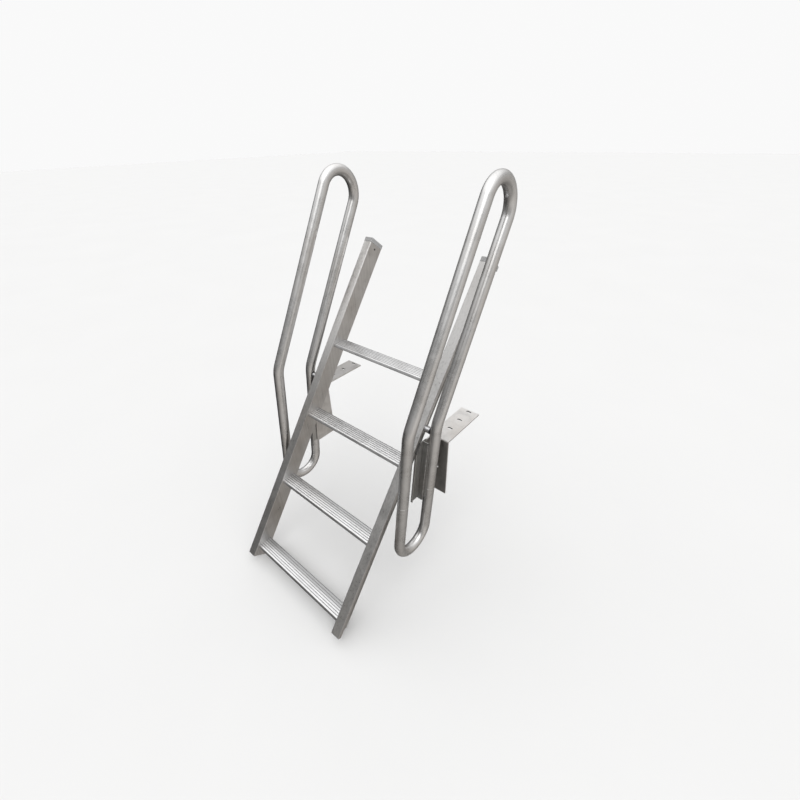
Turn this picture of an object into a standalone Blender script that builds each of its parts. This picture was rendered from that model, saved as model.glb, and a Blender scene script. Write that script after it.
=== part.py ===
"""Boat boarding ladder that hangs on the edge of a dock.

Two channel-section stiles with four grooved treads hang at a slant between two
tubular hand hoops.  Each hoop is fixed to a bent bracket that sits on the dock
edge.  The stiles pivot on a pin in the rear leg of each hoop, and their front
lips rest on a pad at the top of each hoop mount, so the foot of the ladder
swings up and out of the water.

Metres.  +Z up, +X to the right along the dock edge, +Y in over the dock.
The pieces are laid out from the top front edge of the dock, midway between the
stiles.  At the end the whole ladder is set down so that the origin is the
middle of the bottom of its bounding box, and the dock edge is at DOCK_EDGE.

Most places are (Y, Z) pairs in the plane of a side.  X distances are given for
the right side and multiplied by side, which is -1 on the left and +1 on the
right.
"""
import math

import bmesh
import bpy
from mathutils import Matrix, Vector

# ---------------------------------------------------------------- dimensions
DOCK_EDGE = Vector((0.0, 0.096355, 0.651663))   # in the finished frame
SIDES = ((-1, "left"), (1, "right"))
GAP = 0.0003                        # clearance between neighbouring pieces

# stile: ALONG is measured up its slant from deck level, DEPTH back from its front face
LEAN = math.radians(53.33)          # above the horizontal
FRONT_Y = -0.1091                   # Y of the front face at deck level
FOOT_ALONG = -0.7587
HEAD_ALONG = 0.6845
CLEAR_HALF = 0.2525                 # half the clear width between the stiles
STILE_W = 0.0392                    # front flange width
STILE_D = 0.0722                    # web depth
STILE_LIP = 0.0155                  # rear flange width
STILE_RETURN = 0.0160               # outer return of the front flange
STILE_WALL = 0.0032
STILE_ROUND = 0.0024
STILE_LIP_CHAMFER = 0.0008
CORNER_STEPS = 3                    # arc steps round the stile and cap corners
STILE_DRILL_X = (CLEAR_HALF - 0.0040, CLEAR_HALF + 0.0080)
STILE_OUTSIDE_X = CLEAR_HALF + STILE_WALL + GAP     # just clear of the web's outer face
WEB_HOLE_ALONG = 0.5108
WEB_HOLE_DEPTH = 0.0559
WEB_HOLE_R = 0.0030

# cap on the head of the stile
CAP_T = 0.0180
CAP_PROUD = 0.0012
CAP_ROUND = 0.0040
CAP_PLUG = 0.0420
CAP_PLUG_OUT = 0.0150               # outer face of the plug, from the web's inner face
CAP_SCREW_ALONG = 0.6676
CAP_SCREW_DEPTH = 0.0341
CAP_SCREW_HOLE_R = 0.0026
CAP_SCREW_HEAD = 0.0016             # head height
CAP_SCREW_R = 0.0020
CAP_PILOT_X = (CLEAR_HALF + 0.0020, CLEAR_HALF + 0.0125)
# (distance outward from the face of the head, radius)
CAP_SCREW_PROFILE = [
    (0.0, 0.0), (0.0, 0.0034), (0.0010, 0.0038), (CAP_SCREW_HEAD, 0.0038),
    (CAP_SCREW_HEAD, CAP_SCREW_R), (0.0110, CAP_SCREW_R), (0.0120, 0.0010), (0.0120, 0.0),
]

# treads
TREADS = 4
TREAD_Z0 = -0.5741                  # top of the lowest tread
RISE = 0.2540
TREAD_D = 0.0644
TREAD_SETBACK = 0.0058
TREAD_END_GAP = 0.0004
TREAD_SKIN = 0.0026
NOSE_H = 0.0104
NOSE_BACK = 0.0022                  # foot of the nose, back from the front of the section
NOSE_FLAT = 0.0086                  # the sloping nose face starts this far below the top
NOSE_TOP = 0.0074                   # and meets the tread top here
NOSE_EDGE = ((-0.0006, -0.0010), (0.0, -0.0003), (0.0009, 0.0))   # (back from NOSE_TOP, up)
NOSE_INNER_TOP = 0.0008             # top of the inner nose face, back from NOSE_TOP
NOSE_INNER_FOOT = 0.0002            # its foot, back from one skin behind NOSE_BACK
REAR_H = 0.0150
REAR_CHAMFER = 0.0008
HEM = 0.0060
GROOVES = 6
GROOVE_FIRST = 0.0156               # centre of the first groove from the nose
GROOVE_PITCH = 0.0092
GROOVE_W = 0.0026
GROOVE_D = 0.0014
GROOVE_TAPER = 0.0004               # each side, from top to bottom
TREAD_SCREW_R = 0.0023
TREAD_SCREW_L = 0.0200              # reach inward from the clear width
# (distance outward from the seat, radius)
TREAD_SCREW_HEAD = ((0.0, 0.0048), (0.0012, 0.0046), (0.0022, 0.0036), (0.0027, 0.0018),
                    (0.0027, 0.0))
PORT_AT = (0.0190, 0.0480)          # screw ports, back from the nose
PORT_W = 0.0090
PORT_DROP = 0.0135
PORT_DOWN = 0.0088                  # port centre below the tread top
PORT_R = TREAD_SCREW_R + GAP
PORT_SIDES = 16

# hand hoops
HOOP_X = 0.3350
TUBE_R = 0.0200
TUBE_WALL = 0.0025
TUBE_RES = 6
KNEE = Vector((-0.1180, 0.1146))    # knee of the hoop centreline
HOOP_UP = math.radians(60.8)        # slope above the knee
HOOP_DOWN = math.radians(83.2)      # slope below it
HOOP_HALF = 0.0796                  # half the leg spacing
HOOP_TOP = 0.698                    # knee to centre of the top bend
HOOP_LOW = 0.4704                   # knee to centre of the bottom bend
KNEE_RADIUS = 0.120
BEND_STEPS = 22
KNEE_STEPS = 5
FRONT_SEAM = -0.150                 # height of the joint in the front leg
REAR_SEAM = -0.180                  # height of the joint in the rear leg
SEAM_GAP = 0.0004                   # each side of a joint
SPLICE_L = 0.060
SPLICE_WALL = 0.0022

# pivot
PIVOT_Z = 0.0580
PIN_R = 0.0050
PIN_CHAMFER = 0.0010
PIN_BORE_R = PIN_R + GAP
PIN_X = (STILE_OUTSIDE_X + 0.0130, HOOP_X - 0.0040)
BOSS_R = 0.0120
BOSS_X = (STILE_OUTSIDE_X, HOOP_X - TUBE_R - 0.0035)
BOSS_BORE_X = (BOSS_X[0] + 0.0120, BOSS_X[1] + 0.0040)
HOOP_BORE_X = (HOOP_X - 0.0300, HOOP_X)
NOTCH_X = (CLEAR_HALF + 0.0200, CLEAR_HALF + 0.0460)
NOTCH_R = BOSS_R + 0.0008
WASHER_R = 0.0130
WASHER_X = (BOSS_X[1] + GAP, BOSS_X[1] + 0.0028)
PIVOT_SIDES = 24
NOTCH_SIDES = 32

# dock bracket
BRACKET_X = (0.2823, 0.3630)
BRACKET_MID_X = sum(BRACKET_X) / 2
PLATE_T = 0.0050
PLATE_BEND_STEPS = 4
DECK_LEG = 0.2090
FACE_LEG = 0.2600
SLOT_Y = (0.0677, 0.1329, 0.1990)
SLOT_L = 0.0200
SLOT_W = 0.0080
SLOT_END_STEPS = 6
SLOT_CUT_Z = (-0.0040, 0.0100)
FACE_HOLE_Z = -0.1375
FACE_HOLE_R = 0.0042
FACE_DRILL_Y = (-0.0120, 0.0060)
EAR_INSET = 0.0005                  # in from the inner and bottom edges of the plate
EAR_X = (BRACKET_X[0] + EAR_INSET, BRACKET_X[0] + EAR_INSET + PLATE_T)
EAR_ROOT_Y = -0.0020                # inside the thickness of the face leg
EAR_TOP = -0.0030
EAR_TOP_Y = -0.0800
EAR_TOP_CHAMFER = 0.0120
EAR_LOW = -FACE_LEG + EAR_INSET
EAR_LOW_Y = -0.1070
EAR_LOW_CHAMFER = 0.0100
EAR_DRILL_X = (BRACKET_X[0] - 0.0040, BRACKET_X[0] + 0.0100)

# mount between bracket ear and hoop: front, rear and web are measured back from
# the rear leg centreline, the other sizes outward from MOUNT_X
MOUNT_X = EAR_X[1] + GAP
MOUNT_BASE = 0.0030
MOUNT_FRONT = -0.0470
MOUNT_REAR = 0.0130
MOUNT_LIP = 0.0085
MOUNT_LIP_W = 0.0034
MOUNT_LIP_CROWN = 0.0010
MOUNT_WEB = (-0.0100, -0.0050)
MOUNT_WEB_END = HOOP_X - TUBE_R - 0.0002 - MOUNT_X
MOUNT_TOP_Z = 0.0080
MOUNT_LOW_Z = -0.2560
MOUNT_RIBS = 3
RIB_MARGIN = 0.0060                 # left out of the width the ribs divide
RIB_H = 0.0014
RIB_FOOT_HALF = 0.0016
RIB_TOP_HALF = 0.0010
TRIM_X = (MOUNT_X - 0.0020, MOUNT_X + 0.0140)
TRIM_ALONG = (-0.080, 0.060)
TRIM_FRONT = -0.030                 # depth at which the trim cutter starts

# rest pad between the stile's front lip and the hoop mount
PAD_T = 0.0034
PAD_FRONT = STILE_RETURN + 0.0004   # depth of its front face
PAD_BACK = PAD_FRONT + PAD_T
PAD_X = (MOUNT_X + 0.0002, MOUNT_X + MOUNT_LIP)
PAD_END_IN = 0.0030                 # pad ends, in from the ends of the mount's cut

# bolts and nuts through mount and ear
BOLT_Z = (-0.0550, -0.1750)
BOLT_BACK = 0.0045                  # back from the rear leg centreline
BOLT_R = 0.0030
BOLT_HOLE_R = BOLT_R + GAP
BOLT_HEAD = 0.0022                  # head height
BOLT_HEAD_R = 0.0052
BOLT_HEAD_TOP_R = 0.0040
BOLT_HEAD_BEVEL = 0.0012
BOLT_HEAD_X = MOUNT_X + MOUNT_BASE + GAP + BOLT_HEAD
BOLT_PROUD = 0.0002                 # bolt end past the nut
NUT_X = EAR_X[0] - GAP              # face of the nut against the ear
NUT_T = 0.0040
NUT_R = 0.0058
MOUNT_DRILL_X = (MOUNT_X - 0.0040, MOUNT_X + 0.0100)
NUT_DRILL_X = (NUT_X - 0.0080, NUT_X + 0.0040)

# ------------------------------------------------------------- scene and finish
for old in list(bpy.data.objects):
    bpy.data.objects.remove(old, do_unlink=True)
for group in list(bpy.data.collections):
    bpy.data.collections.remove(group)

scene_root = bpy.context.scene.collection
PARTS = bpy.data.collections.new("boat_boarding_ladder")
TOOLS = bpy.data.collections.new("cutters")
scene_root.children.link(PARTS)
scene_root.children.link(TOOLS)

LADDER = []                         # pieces that swing about the pivot pins
FIXED = []                          # pieces that stay with the dock

# kind: (base colour, roughness, metallic)
FINISH = {
    "stile": ((0.66, 0.66, 0.66), 0.42, 1.0),
    "tread": ((0.78, 0.78, 0.78), 0.40, 1.0),
    "tube": ((0.64, 0.63, 0.61), 0.38, 1.0),
    "plate": ((0.74, 0.73, 0.72), 0.50, 1.0),
    "cap": ((0.46, 0.47, 0.48), 0.55, 0.0),
    "steel": ((0.60, 0.60, 0.61), 0.30, 1.0),
    "sleeve": ((0.05, 0.05, 0.05), 0.75, 0.0),
    "nylon": ((0.80, 0.79, 0.75), 0.60, 0.0),
}


def material(name, colour, roughness, metallic):
    mat = bpy.data.materials.new(name)
    mat.use_nodes = True
    node = mat.node_tree.nodes["Principled BSDF"]
    node.inputs["Base Color"].default_value = (*colour, 1.0)
    node.inputs["Roughness"].default_value = roughness
    node.inputs["Metallic"].default_value = metallic
    mat.diffuse_color = (*colour, 1.0)
    return mat


def keep(obj, kind, pieces):
    """Give a finished piece its own material and list it as swinging or fixed."""
    obj.data.materials.append(material(obj.name + "_finish", *FINISH[kind]))
    pieces.append(obj)


# --------------------------------------------------------------------- geometry
def lengthwise(angle):
    """(Y, Z) direction up a slope."""
    return Vector((math.cos(angle), math.sin(angle)))


def rearward(angle):
    """(Y, Z) direction square to a slope, toward the dock."""
    return Vector((math.sin(angle), -math.cos(angle)))


def in_space(x, place):
    """Point or direction in space from X and a (Y, Z) pair."""
    return Vector((x, *place))


def axes(origin, xdir, ydir, zdir):
    """Frame from an origin and three directions."""
    rot = Matrix((xdir, ydir, zdir)).transposed().to_4x4()
    return Matrix.Translation(origin) @ rot


def arc(cx, cy, radius, start, end, steps):
    """Points on an arc, angles in degrees."""
    out = []
    for i in range(steps + 1):
        angle = math.radians(start + (end - start) * i / steps)
        out.append((cx + radius * math.cos(angle), cy + radius * math.sin(angle)))
    return out


def outward(outline, side):
    """Turn an outline whose first column runs outward to the given side."""
    return [(side * a, b) for a, b in outline]


X_AXIS = Vector((1, 0, 0))
Y_AXIS = Vector((0, 1, 0))
Z_AXIS = Vector((0, 0, 1))

STILE_START = Vector((FRONT_Y, 0.0))
RUN, BACK = lengthwise(LEAN), rearward(LEAN)        # up the stile, through its depth


def on_stile(along, depth):
    return STILE_START + RUN * along + BACK * depth


def stile_frame(along, side):
    """Local X across, Y through the depth and Z up the stile."""
    origin = in_space(side * CLEAR_HALF, on_stile(along, 0.0))
    return axes(origin, X_AXIS, in_space(0, BACK), in_space(0, RUN))


def stile_rectangle(along, depths):
    """Rectangle in the YZ plane, square to the stile."""
    (low, high), (front, back) = along, depths
    return [on_stile(low, front), on_stile(high, front), on_stile(high, back), on_stile(low, back)]


# hoop centreline: upper and lower legs meet in mitred corners at the knee
UPPER, UPPER_BACK = lengthwise(HOOP_UP), rearward(HOOP_UP)
LOWER, LOWER_BACK = lengthwise(HOOP_DOWN), rearward(HOOP_DOWN)
MITRE = (UPPER_BACK + LOWER_BACK).normalized()
TO_CORNER = MITRE * (HOOP_HALF / UPPER_BACK.dot(MITRE))
FRONT_CORNER = KNEE - TO_CORNER
REAR_CORNER = KNEE + TO_CORNER


def leg_point(corner, z):
    """Centre of the leg below a knee corner, at height z."""
    return Vector((corner.x + (z - corner.y) / math.tan(HOOP_DOWN), z))


def knee_arc(corner):
    """Fillet the bend between the lower and upper leg at a corner."""
    reach = KNEE_RADIUS * math.tan((HOOP_DOWN - HOOP_UP) / 2)
    centre = corner - LOWER * reach + LOWER_BACK * KNEE_RADIUS
    out = []
    for i in range(KNEE_STEPS + 1):
        angle = HOOP_DOWN - (HOOP_DOWN - HOOP_UP) * i / KNEE_STEPS
        out.append(centre - rearward(angle) * KNEE_RADIUS)
    return out


def half_turn(centre, across, bulge):
    """Half circle from -across to +across, bulging along bulge."""
    out = []
    for i in range(BEND_STEPS + 1):
        angle = math.pi * i / BEND_STEPS
        out.append(centre - across * (HOOP_HALF * math.cos(angle))
                   + bulge * (HOOP_HALF * math.sin(angle)))
    return out


UPPER_PATH = [
    leg_point(FRONT_CORNER, FRONT_SEAM + SEAM_GAP),
    *knee_arc(FRONT_CORNER),
    *half_turn(KNEE + UPPER * HOOP_TOP, UPPER_BACK, UPPER),
    *reversed(knee_arc(REAR_CORNER)),
    leg_point(REAR_CORNER, REAR_SEAM + SEAM_GAP),
]
LOWER_PATH = [
    leg_point(FRONT_CORNER, FRONT_SEAM - SEAM_GAP),
    *half_turn(KNEE - LOWER * HOOP_LOW, LOWER_BACK, -LOWER),
    leg_point(REAR_CORNER, REAR_SEAM - SEAM_GAP),
]
PIVOT = leg_point(REAR_CORNER, PIVOT_Z)
BOLT_PLACES = [leg_point(REAR_CORNER, z) + LOWER_BACK * BOLT_BACK for z in BOLT_Z]


# --------------------------------------------------------------------- builders
def settle(mesh, smooth=False):
    """Weld a mesh, turn its faces outward and set its shading."""
    work = bmesh.new()
    work.from_mesh(mesh)
    bmesh.ops.remove_doubles(work, verts=work.verts, dist=1e-6)
    bmesh.ops.recalc_face_normals(work, faces=work.faces)
    if all(edge.is_manifold for edge in work.edges) and work.calc_volume(signed=True) < 0:
        bmesh.ops.reverse_faces(work, faces=work.faces)
    for face in work.faces:
        face.smooth = smooth
    work.to_mesh(mesh)
    work.free()


def add(name, mesh, where=PARTS):
    obj = bpy.data.objects.new(name, mesh)
    where.objects.link(obj)
    return obj


def from_curve(name, curve, frame, where, smooth):
    """Convert a curve to a mesh object whose data sits in world axes."""
    holder = bpy.data.objects.new(name + "_curve", curve)
    scene_root.objects.link(holder)
    mesh = bpy.data.meshes.new_from_object(holder)
    bpy.data.objects.remove(holder, do_unlink=True)
    mesh.name = name
    mesh.transform(frame)
    settle(mesh, smooth)
    return add(name, mesh, where)


def prism(name, outline, frame, length, where=PARTS, holes=()):
    """Extrude a closed outline: local XY, extruded from 0 to length along Z."""
    curve = bpy.data.curves.new(name, "CURVE")
    curve.dimensions = "2D"
    curve.fill_mode = "BOTH"
    curve.extrude = length / 2
    for loop in (outline, *holes):
        spline = curve.splines.new("POLY")
        spline.points.add(len(loop) - 1)
        for point, (a, b) in zip(spline.points, loop):
            point.co = (a, b, 0.0, 1.0)
        spline.use_cyclic_u = True
    lift = Matrix.Translation((0.0, 0.0, length / 2))
    return from_curve(name, curve, frame @ lift, where, False)


def slab(name, outline, span, side=1, place=(0.0, 0.0), where=PARTS, holes=()):
    """Extrude a (Y, Z) outline, set off by place, over an X span of one side."""
    near, far = span
    start = near if side > 0 else -far
    frame = axes(in_space(start, place), Y_AXIS, Z_AXIS, X_AXIS)
    return prism(name, outline, frame, far - near, where, holes)


def rod(name, start, end, radius, sides, where=PARTS, smooth_sides=True):
    """Round bar from start to end; its ends are always flat shaded."""
    work = bmesh.new()
    bmesh.ops.create_cone(work, cap_ends=True, cap_tris=False, segments=sides,
                          radius1=radius, radius2=radius, depth=(end - start).length)
    turn = (end - start).to_track_quat("Z", "Y").to_matrix().to_4x4()
    bmesh.ops.transform(work, matrix=Matrix.Translation((start + end) / 2) @ turn,
                        verts=work.verts)
    mesh = bpy.data.meshes.new(name)
    work.to_mesh(mesh)
    work.free()
    settle(mesh)
    if smooth_sides:
        for poly in mesh.polygons:
            poly.use_smooth = len(poly.vertices) == 4
    return add(name, mesh, where)


def cross_rod(name, side, span, place, radius, sides=16, where=PARTS, smooth_sides=True):
    """Rod along X over the span, centred on a (Y, Z) place."""
    start, end = (in_space(side * x, place) for x in span)
    return rod(name, start, end, radius, sides, where, smooth_sides)


def turned(name, profile, start, along, sides=16):
    """Turned piece: (distance along, radius) pairs screwed about the axis."""
    mesh = bpy.data.meshes.new(name)
    work = bmesh.new()
    points = [work.verts.new((radius, 0.0, height)) for height, radius in reversed(profile)]
    for first, second in zip(points, points[1:]):
        work.edges.new((first, second))
    work.to_mesh(mesh)
    work.free()
    obj = add(name, mesh)
    spin = obj.modifiers.new("turn", "SCREW")
    spin.axis = "Z"
    spin.steps = sides
    spin.use_merge_vertices = True
    spin.merge_threshold = 1e-5
    spin.use_normal_calculate = True
    # replace the profile by the turned shape, in world axes
    bpy.context.view_layer.update()
    graph = bpy.context.evaluated_depsgraph_get()
    solid = bpy.data.meshes.new_from_object(obj.evaluated_get(graph))
    turn = Vector(along).normalized().to_track_quat("Z", "Y").to_matrix().to_4x4()
    solid.transform(Matrix.Translation(start) @ turn)
    obj.modifiers.clear()
    obj.data = solid
    settle(solid)
    return obj


def sleeve(name, length, inner, outer, start, along, sides=16):
    """Turned ring or sleeve."""
    ring = [(0.0, inner), (0.0, outer), (length, outer), (length, inner), (0.0, inner)]
    return turned(name, ring, start, along, sides)


def tube(name, path, x):
    """Bent round tube with open ends; path is (Y, Z) in the plane X = x."""
    curve = bpy.data.curves.new(name, "CURVE")
    curve.dimensions = "3D"
    curve.bevel_depth = TUBE_R
    curve.bevel_resolution = TUBE_RES
    curve.use_fill_caps = False
    spline = curve.splines.new("POLY")
    spline.points.add(len(path) - 1)
    for point, place in zip(spline.points, path):
        point.co = (x, *place, 1.0)
    obj = from_curve(name, curve, Matrix.Identity(4), PARTS, True)
    # faces of the open skin must look away from the centreline
    mesh = obj.data
    face = mesh.polygons[0]
    nearest = min((in_space(x, place) for place in path),
                  key=lambda point: (point - face.center).length)
    if face.normal.dot(face.center - nearest) < 0:
        mesh.flip_normals()
    skin = obj.modifiers.new("wall", "SOLIDIFY")
    skin.thickness = TUBE_WALL
    skin.offset = -1.0
    skin.use_rim = True
    skin.use_even_offset = True
    return obj


def boolean(obj, tool, mode="DIFFERENCE"):
    mod = obj.modifiers.new(mode.lower(), "BOOLEAN")
    mod.operation = mode
    mod.solver = "EXACT"
    mod.object = tool
    tool.hide_render = True
    tool.display_type = "WIRE"


def drill(obj, name, side, span, place, radius, sides=16):
    """Cut a round hole along X."""
    boolean(obj, cross_rod(name, side, span, place, radius, sides, TOOLS))


# ----------------------------------------------------------------------- treads
def tread_place(k):
    """(Y, Z) of the top front corner of the tread section."""
    z = TREAD_Z0 + k * RISE
    return FRONT_Y + z / math.tan(LEAN) + TREAD_SETBACK, z


def tread_ports():
    """(tread index, label, (Y, Z)) of every screw port."""
    for k in range(TREADS):
        y, z = tread_place(k)
        for label, back in zip(("front", "rear"), PORT_AT):
            yield k, label, (y + back, z - PORT_DOWN)


def tread_outline():
    """Grooved tread section: X back from the nose, Y up, tread top at 0."""
    skin, rear = TREAD_SKIN, TREAD_D
    under = -GROOVE_D - skin
    pts = [(NOSE_BACK, -NOSE_H), (NOSE_BACK, -NOSE_FLAT)]
    pts += [(NOSE_TOP + back, up) for back, up in NOSE_EDGE]
    for i in range(GROOVES):
        front = GROOVE_FIRST + i * GROOVE_PITCH - GROOVE_W / 2
        back = front + GROOVE_W
        pts += [(front, 0.0), (front + GROOVE_TAPER, -GROOVE_D),
                (back - GROOVE_TAPER, -GROOVE_D), (back, 0.0)]
    pts += [(rear - REAR_CHAMFER, 0.0), (rear, -REAR_CHAMFER), (rear, -REAR_H),
            (rear - HEM, -REAR_H), (rear - HEM, -REAR_H + skin),
            (rear - skin, -REAR_H + skin), (rear - skin, under)]
    for centre in reversed(PORT_AT):
        front, back = centre - PORT_W / 2, centre + PORT_W / 2
        pts += [(back, under), (back, -PORT_DROP), (front, -PORT_DROP), (front, under)]
    pts += [(NOSE_TOP + NOSE_INNER_TOP, under),
            (NOSE_BACK + skin + NOSE_INNER_FOOT, -NOSE_H + skin),
            (NOSE_BACK + HEM, -NOSE_H + skin), (NOSE_BACK + HEM, -NOSE_H)]
    return pts


def make_treads():
    half = CLEAR_HALF - TREAD_END_GAP
    last_angle = 360 - 360 / PORT_SIDES
    holes = [arc(back, -PORT_DOWN, PORT_R, 0, last_angle, PORT_SIDES - 1) for back in PORT_AT]
    for k in range(TREADS):
        tread = slab("tread_%d" % (k + 1), tread_outline(), (-half, half),
                     place=tread_place(k), holes=holes)
        keep(tread, "tread", LADDER)


def make_tread_screws(side, tag):
    """Button-head screws through the web into the tread ports."""
    start_x = CLEAR_HALF - TREAD_SCREW_L
    reach = STILE_OUTSIDE_X - start_x
    profile = [(0.0, 0.0), (0.0, TREAD_SCREW_R), (reach, TREAD_SCREW_R)]
    profile += [(reach + out, radius) for out, radius in TREAD_SCREW_HEAD]
    for k, label, place in tread_ports():
        screw = turned("%s_tread_%d_screw_%s" % (tag, k + 1, label), profile,
                       in_space(side * start_x, place), (side, 0, 0))
        keep(screw, "steel", LADDER)


# ----------------------------------------------------------------------- stiles
def stile_outline():
    """Channel section: X outward, Y through the depth from the front face."""
    width, depth, lip = STILE_W, STILE_D, STILE_LIP
    wall, bend, chamfer = STILE_WALL, STILE_ROUND, STILE_LIP_CHAMFER
    pts = arc(bend, bend, bend, 270, 180, CORNER_STEPS)
    pts += arc(bend, depth - bend, bend, 180, 90, CORNER_STEPS)
    pts += [(lip - chamfer, depth), (lip, depth - chamfer), (lip, depth - wall),
            (wall, depth - wall), (wall, wall), (width - wall, wall),
            (width - wall, STILE_RETURN), (width, STILE_RETURN)]
    pts += arc(width - bend, bend, bend, 0, -90, CORNER_STEPS)
    return pts


def make_stile(side, tag):
    stile = prism(tag + "_stile", outward(stile_outline(), side),
                  stile_frame(FOOT_ALONG, side), HEAD_ALONG - FOOT_ALONG)
    drill(stile, tag + "_cap_drill", side, STILE_DRILL_X,
          on_stile(CAP_SCREW_ALONG, CAP_SCREW_DEPTH), CAP_SCREW_HOLE_R)
    drill(stile, tag + "_web_drill", side, STILE_DRILL_X,
          on_stile(WEB_HOLE_ALONG, WEB_HOLE_DEPTH), WEB_HOLE_R)
    # the front lip is notched round the pivot boss
    drill(stile, tag + "_boss_notch", side, NOTCH_X, PIVOT, NOTCH_R, NOTCH_SIDES)
    for k, label, place in tread_ports():
        drill(stile, "%s_tread_drill_%d_%s" % (tag, k + 1, label), side, STILE_DRILL_X,
              place, PORT_R)
    keep(stile, "stile", LADDER)


def make_cap(side, tag):
    """Cap with a plug down inside the channel, and the low screw that holds it."""
    low = CAP_ROUND - CAP_PROUD     # nearer corner centres, both ways
    out = STILE_W + CAP_PROUD - CAP_ROUND
    back = STILE_D + CAP_PROUD - CAP_ROUND
    ring = (arc(low, low, CAP_ROUND, 180, 270, CORNER_STEPS)
            + arc(out, low, CAP_ROUND, 270, 360, CORNER_STEPS)
            + arc(out, back, CAP_ROUND, 0, 90, CORNER_STEPS)
            + arc(low, back, CAP_ROUND, 90, 180, CORNER_STEPS))
    cap = prism(tag + "_stile_cap", outward(ring, side),
                stile_frame(HEAD_ALONG + GAP, side), CAP_T)
    inset = STILE_WALL + GAP
    plug_ring = [(inset, inset), (CAP_PLUG_OUT, inset),
                 (CAP_PLUG_OUT, STILE_D - inset), (inset, STILE_D - inset)]
    plug = prism(tag + "_cap_plug_tool", outward(plug_ring, side),
                 stile_frame(HEAD_ALONG - CAP_PLUG, side), CAP_PLUG + GAP + CAP_T / 2, TOOLS)
    boolean(cap, plug, "UNION")
    seat = on_stile(CAP_SCREW_ALONG, CAP_SCREW_DEPTH)
    drill(cap, tag + "_cap_pilot", side, CAP_PILOT_X, seat, CAP_SCREW_R + GAP)
    keep(cap, "cap", LADDER)
    head_x = CLEAR_HALF - CAP_SCREW_HEAD - GAP
    screw = turned(tag + "_cap_screw", CAP_SCREW_PROFILE, in_space(side * head_x, seat),
                   (side, 0, 0))
    keep(screw, "steel", LADDER)


# ------------------------------------------------------------------------ pivot
def make_pivot(side, tag):
    """Boss inside the stile, washer, and pin from the rear leg of the hoop."""
    boss = cross_rod(tag + "_pivot_boss", side, BOSS_X, PIVOT, BOSS_R, PIVOT_SIDES)
    drill(boss, tag + "_boss_bore", side, BOSS_BORE_X, PIVOT, PIN_BORE_R, PIVOT_SIDES)
    keep(boss, "steel", LADDER)
    washer = sleeve(tag + "_pivot_washer", WASHER_X[1] - WASHER_X[0], PIN_BORE_R, WASHER_R,
                    in_space(side * WASHER_X[0], PIVOT), (side, 0, 0), PIVOT_SIDES)
    keep(washer, "nylon", FIXED)
    # the pin is fixed in the inner wall of the leg and free in the boss
    length = PIN_X[1] - PIN_X[0]
    profile = [(0.0, 0.0), (0.0, PIN_R - PIN_CHAMFER), (PIN_CHAMFER, PIN_R),
               (length, PIN_R), (length, 0.0)]
    pin = turned(tag + "_pivot_pin", profile, in_space(side * PIN_X[0], PIVOT),
                 (side, 0, 0), PIVOT_SIDES)
    keep(pin, "steel", FIXED)


# ------------------------------------------------------------------------- hoop
def make_hoop(side, tag):
    """Upper and lower hairpins with splice sleeves across the two joints."""
    upper = tube(tag + "_hoop_upper", UPPER_PATH, side * HOOP_X)
    drill(upper, tag + "_pivot_drill", side, HOOP_BORE_X, PIVOT, PIN_BORE_R, PIVOT_SIDES)
    keep(upper, "tube", FIXED)
    keep(tube(tag + "_hoop_lower", LOWER_PATH, side * HOOP_X), "tube", FIXED)
    outer = TUBE_R - TUBE_WALL - GAP
    joints = (("front", FRONT_CORNER, FRONT_SEAM), ("rear", REAR_CORNER, REAR_SEAM))
    for label, corner, seam in joints:
        low = leg_point(corner, seam) - LOWER * SPLICE_L / 2
        splice = sleeve("%s_%s_splice" % (tag, label), SPLICE_L, outer - SPLICE_WALL, outer,
                        in_space(side * HOOP_X, low), in_space(0, LOWER))
        keep(splice, "tube", FIXED)


# ---------------------------------------------------------------------- bracket
def make_bracket(side, tag):
    """Deck leg, face leg and an ear along the inner edge."""
    # the plate's outer face rounds the dock edge
    bend = [(DECK_LEG, 0.0), (DECK_LEG, PLATE_T)]
    bend += arc(0.0, 0.0, PLATE_T, 90, 180, PLATE_BEND_STEPS)
    bend += [(-PLATE_T, -FACE_LEG), (0.0, -FACE_LEG), (0.0, 0.0)]
    bracket = slab(tag + "_dock_bracket", bend, BRACKET_X, side)
    ear = [(EAR_ROOT_Y, EAR_TOP), (EAR_TOP_Y + EAR_TOP_CHAMFER, EAR_TOP),
           (EAR_TOP_Y, EAR_TOP - EAR_TOP_CHAMFER), (EAR_LOW_Y, EAR_LOW + EAR_LOW_CHAMFER),
           (EAR_LOW_Y + EAR_LOW_CHAMFER, EAR_LOW), (EAR_ROOT_Y, EAR_LOW)]
    boolean(bracket, slab(tag + "_ear_tool", ear, EAR_X, side, where=TOOLS), "UNION")

    mid_x = side * BRACKET_MID_X
    end_r = SLOT_W / 2
    reach = SLOT_L / 2 - end_r
    ring = (arc(reach, 0.0, end_r, -90, 90, SLOT_END_STEPS)
            + arc(-reach, 0.0, end_r, 90, 270, SLOT_END_STEPS))
    for i, y in enumerate(SLOT_Y):
        slot = prism("%s_slot_%d" % (tag, i + 1), ring,
                     Matrix.Translation((mid_x, y, SLOT_CUT_Z[0])),
                     SLOT_CUT_Z[1] - SLOT_CUT_Z[0], TOOLS)
        boolean(bracket, slot)
    start, end = (Vector((mid_x, y, FACE_HOLE_Z)) for y in FACE_DRILL_Y)
    boolean(bracket, rod(tag + "_face_drill", start, end, FACE_HOLE_R, 16, TOOLS))
    for i, place in enumerate(BOLT_PLACES):
        drill(bracket, "%s_ear_drill_%d" % (tag, i + 1), side, EAR_DRILL_X, place, BOLT_HOLE_R)
    keep(bracket, "plate", FIXED)


# ------------------------------------------------------------------------ mount
MOUNT_LOW = leg_point(REAR_CORNER, MOUNT_LOW_Z)
MOUNT_TOP = leg_point(REAR_CORNER, MOUNT_TOP_Z)


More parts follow.
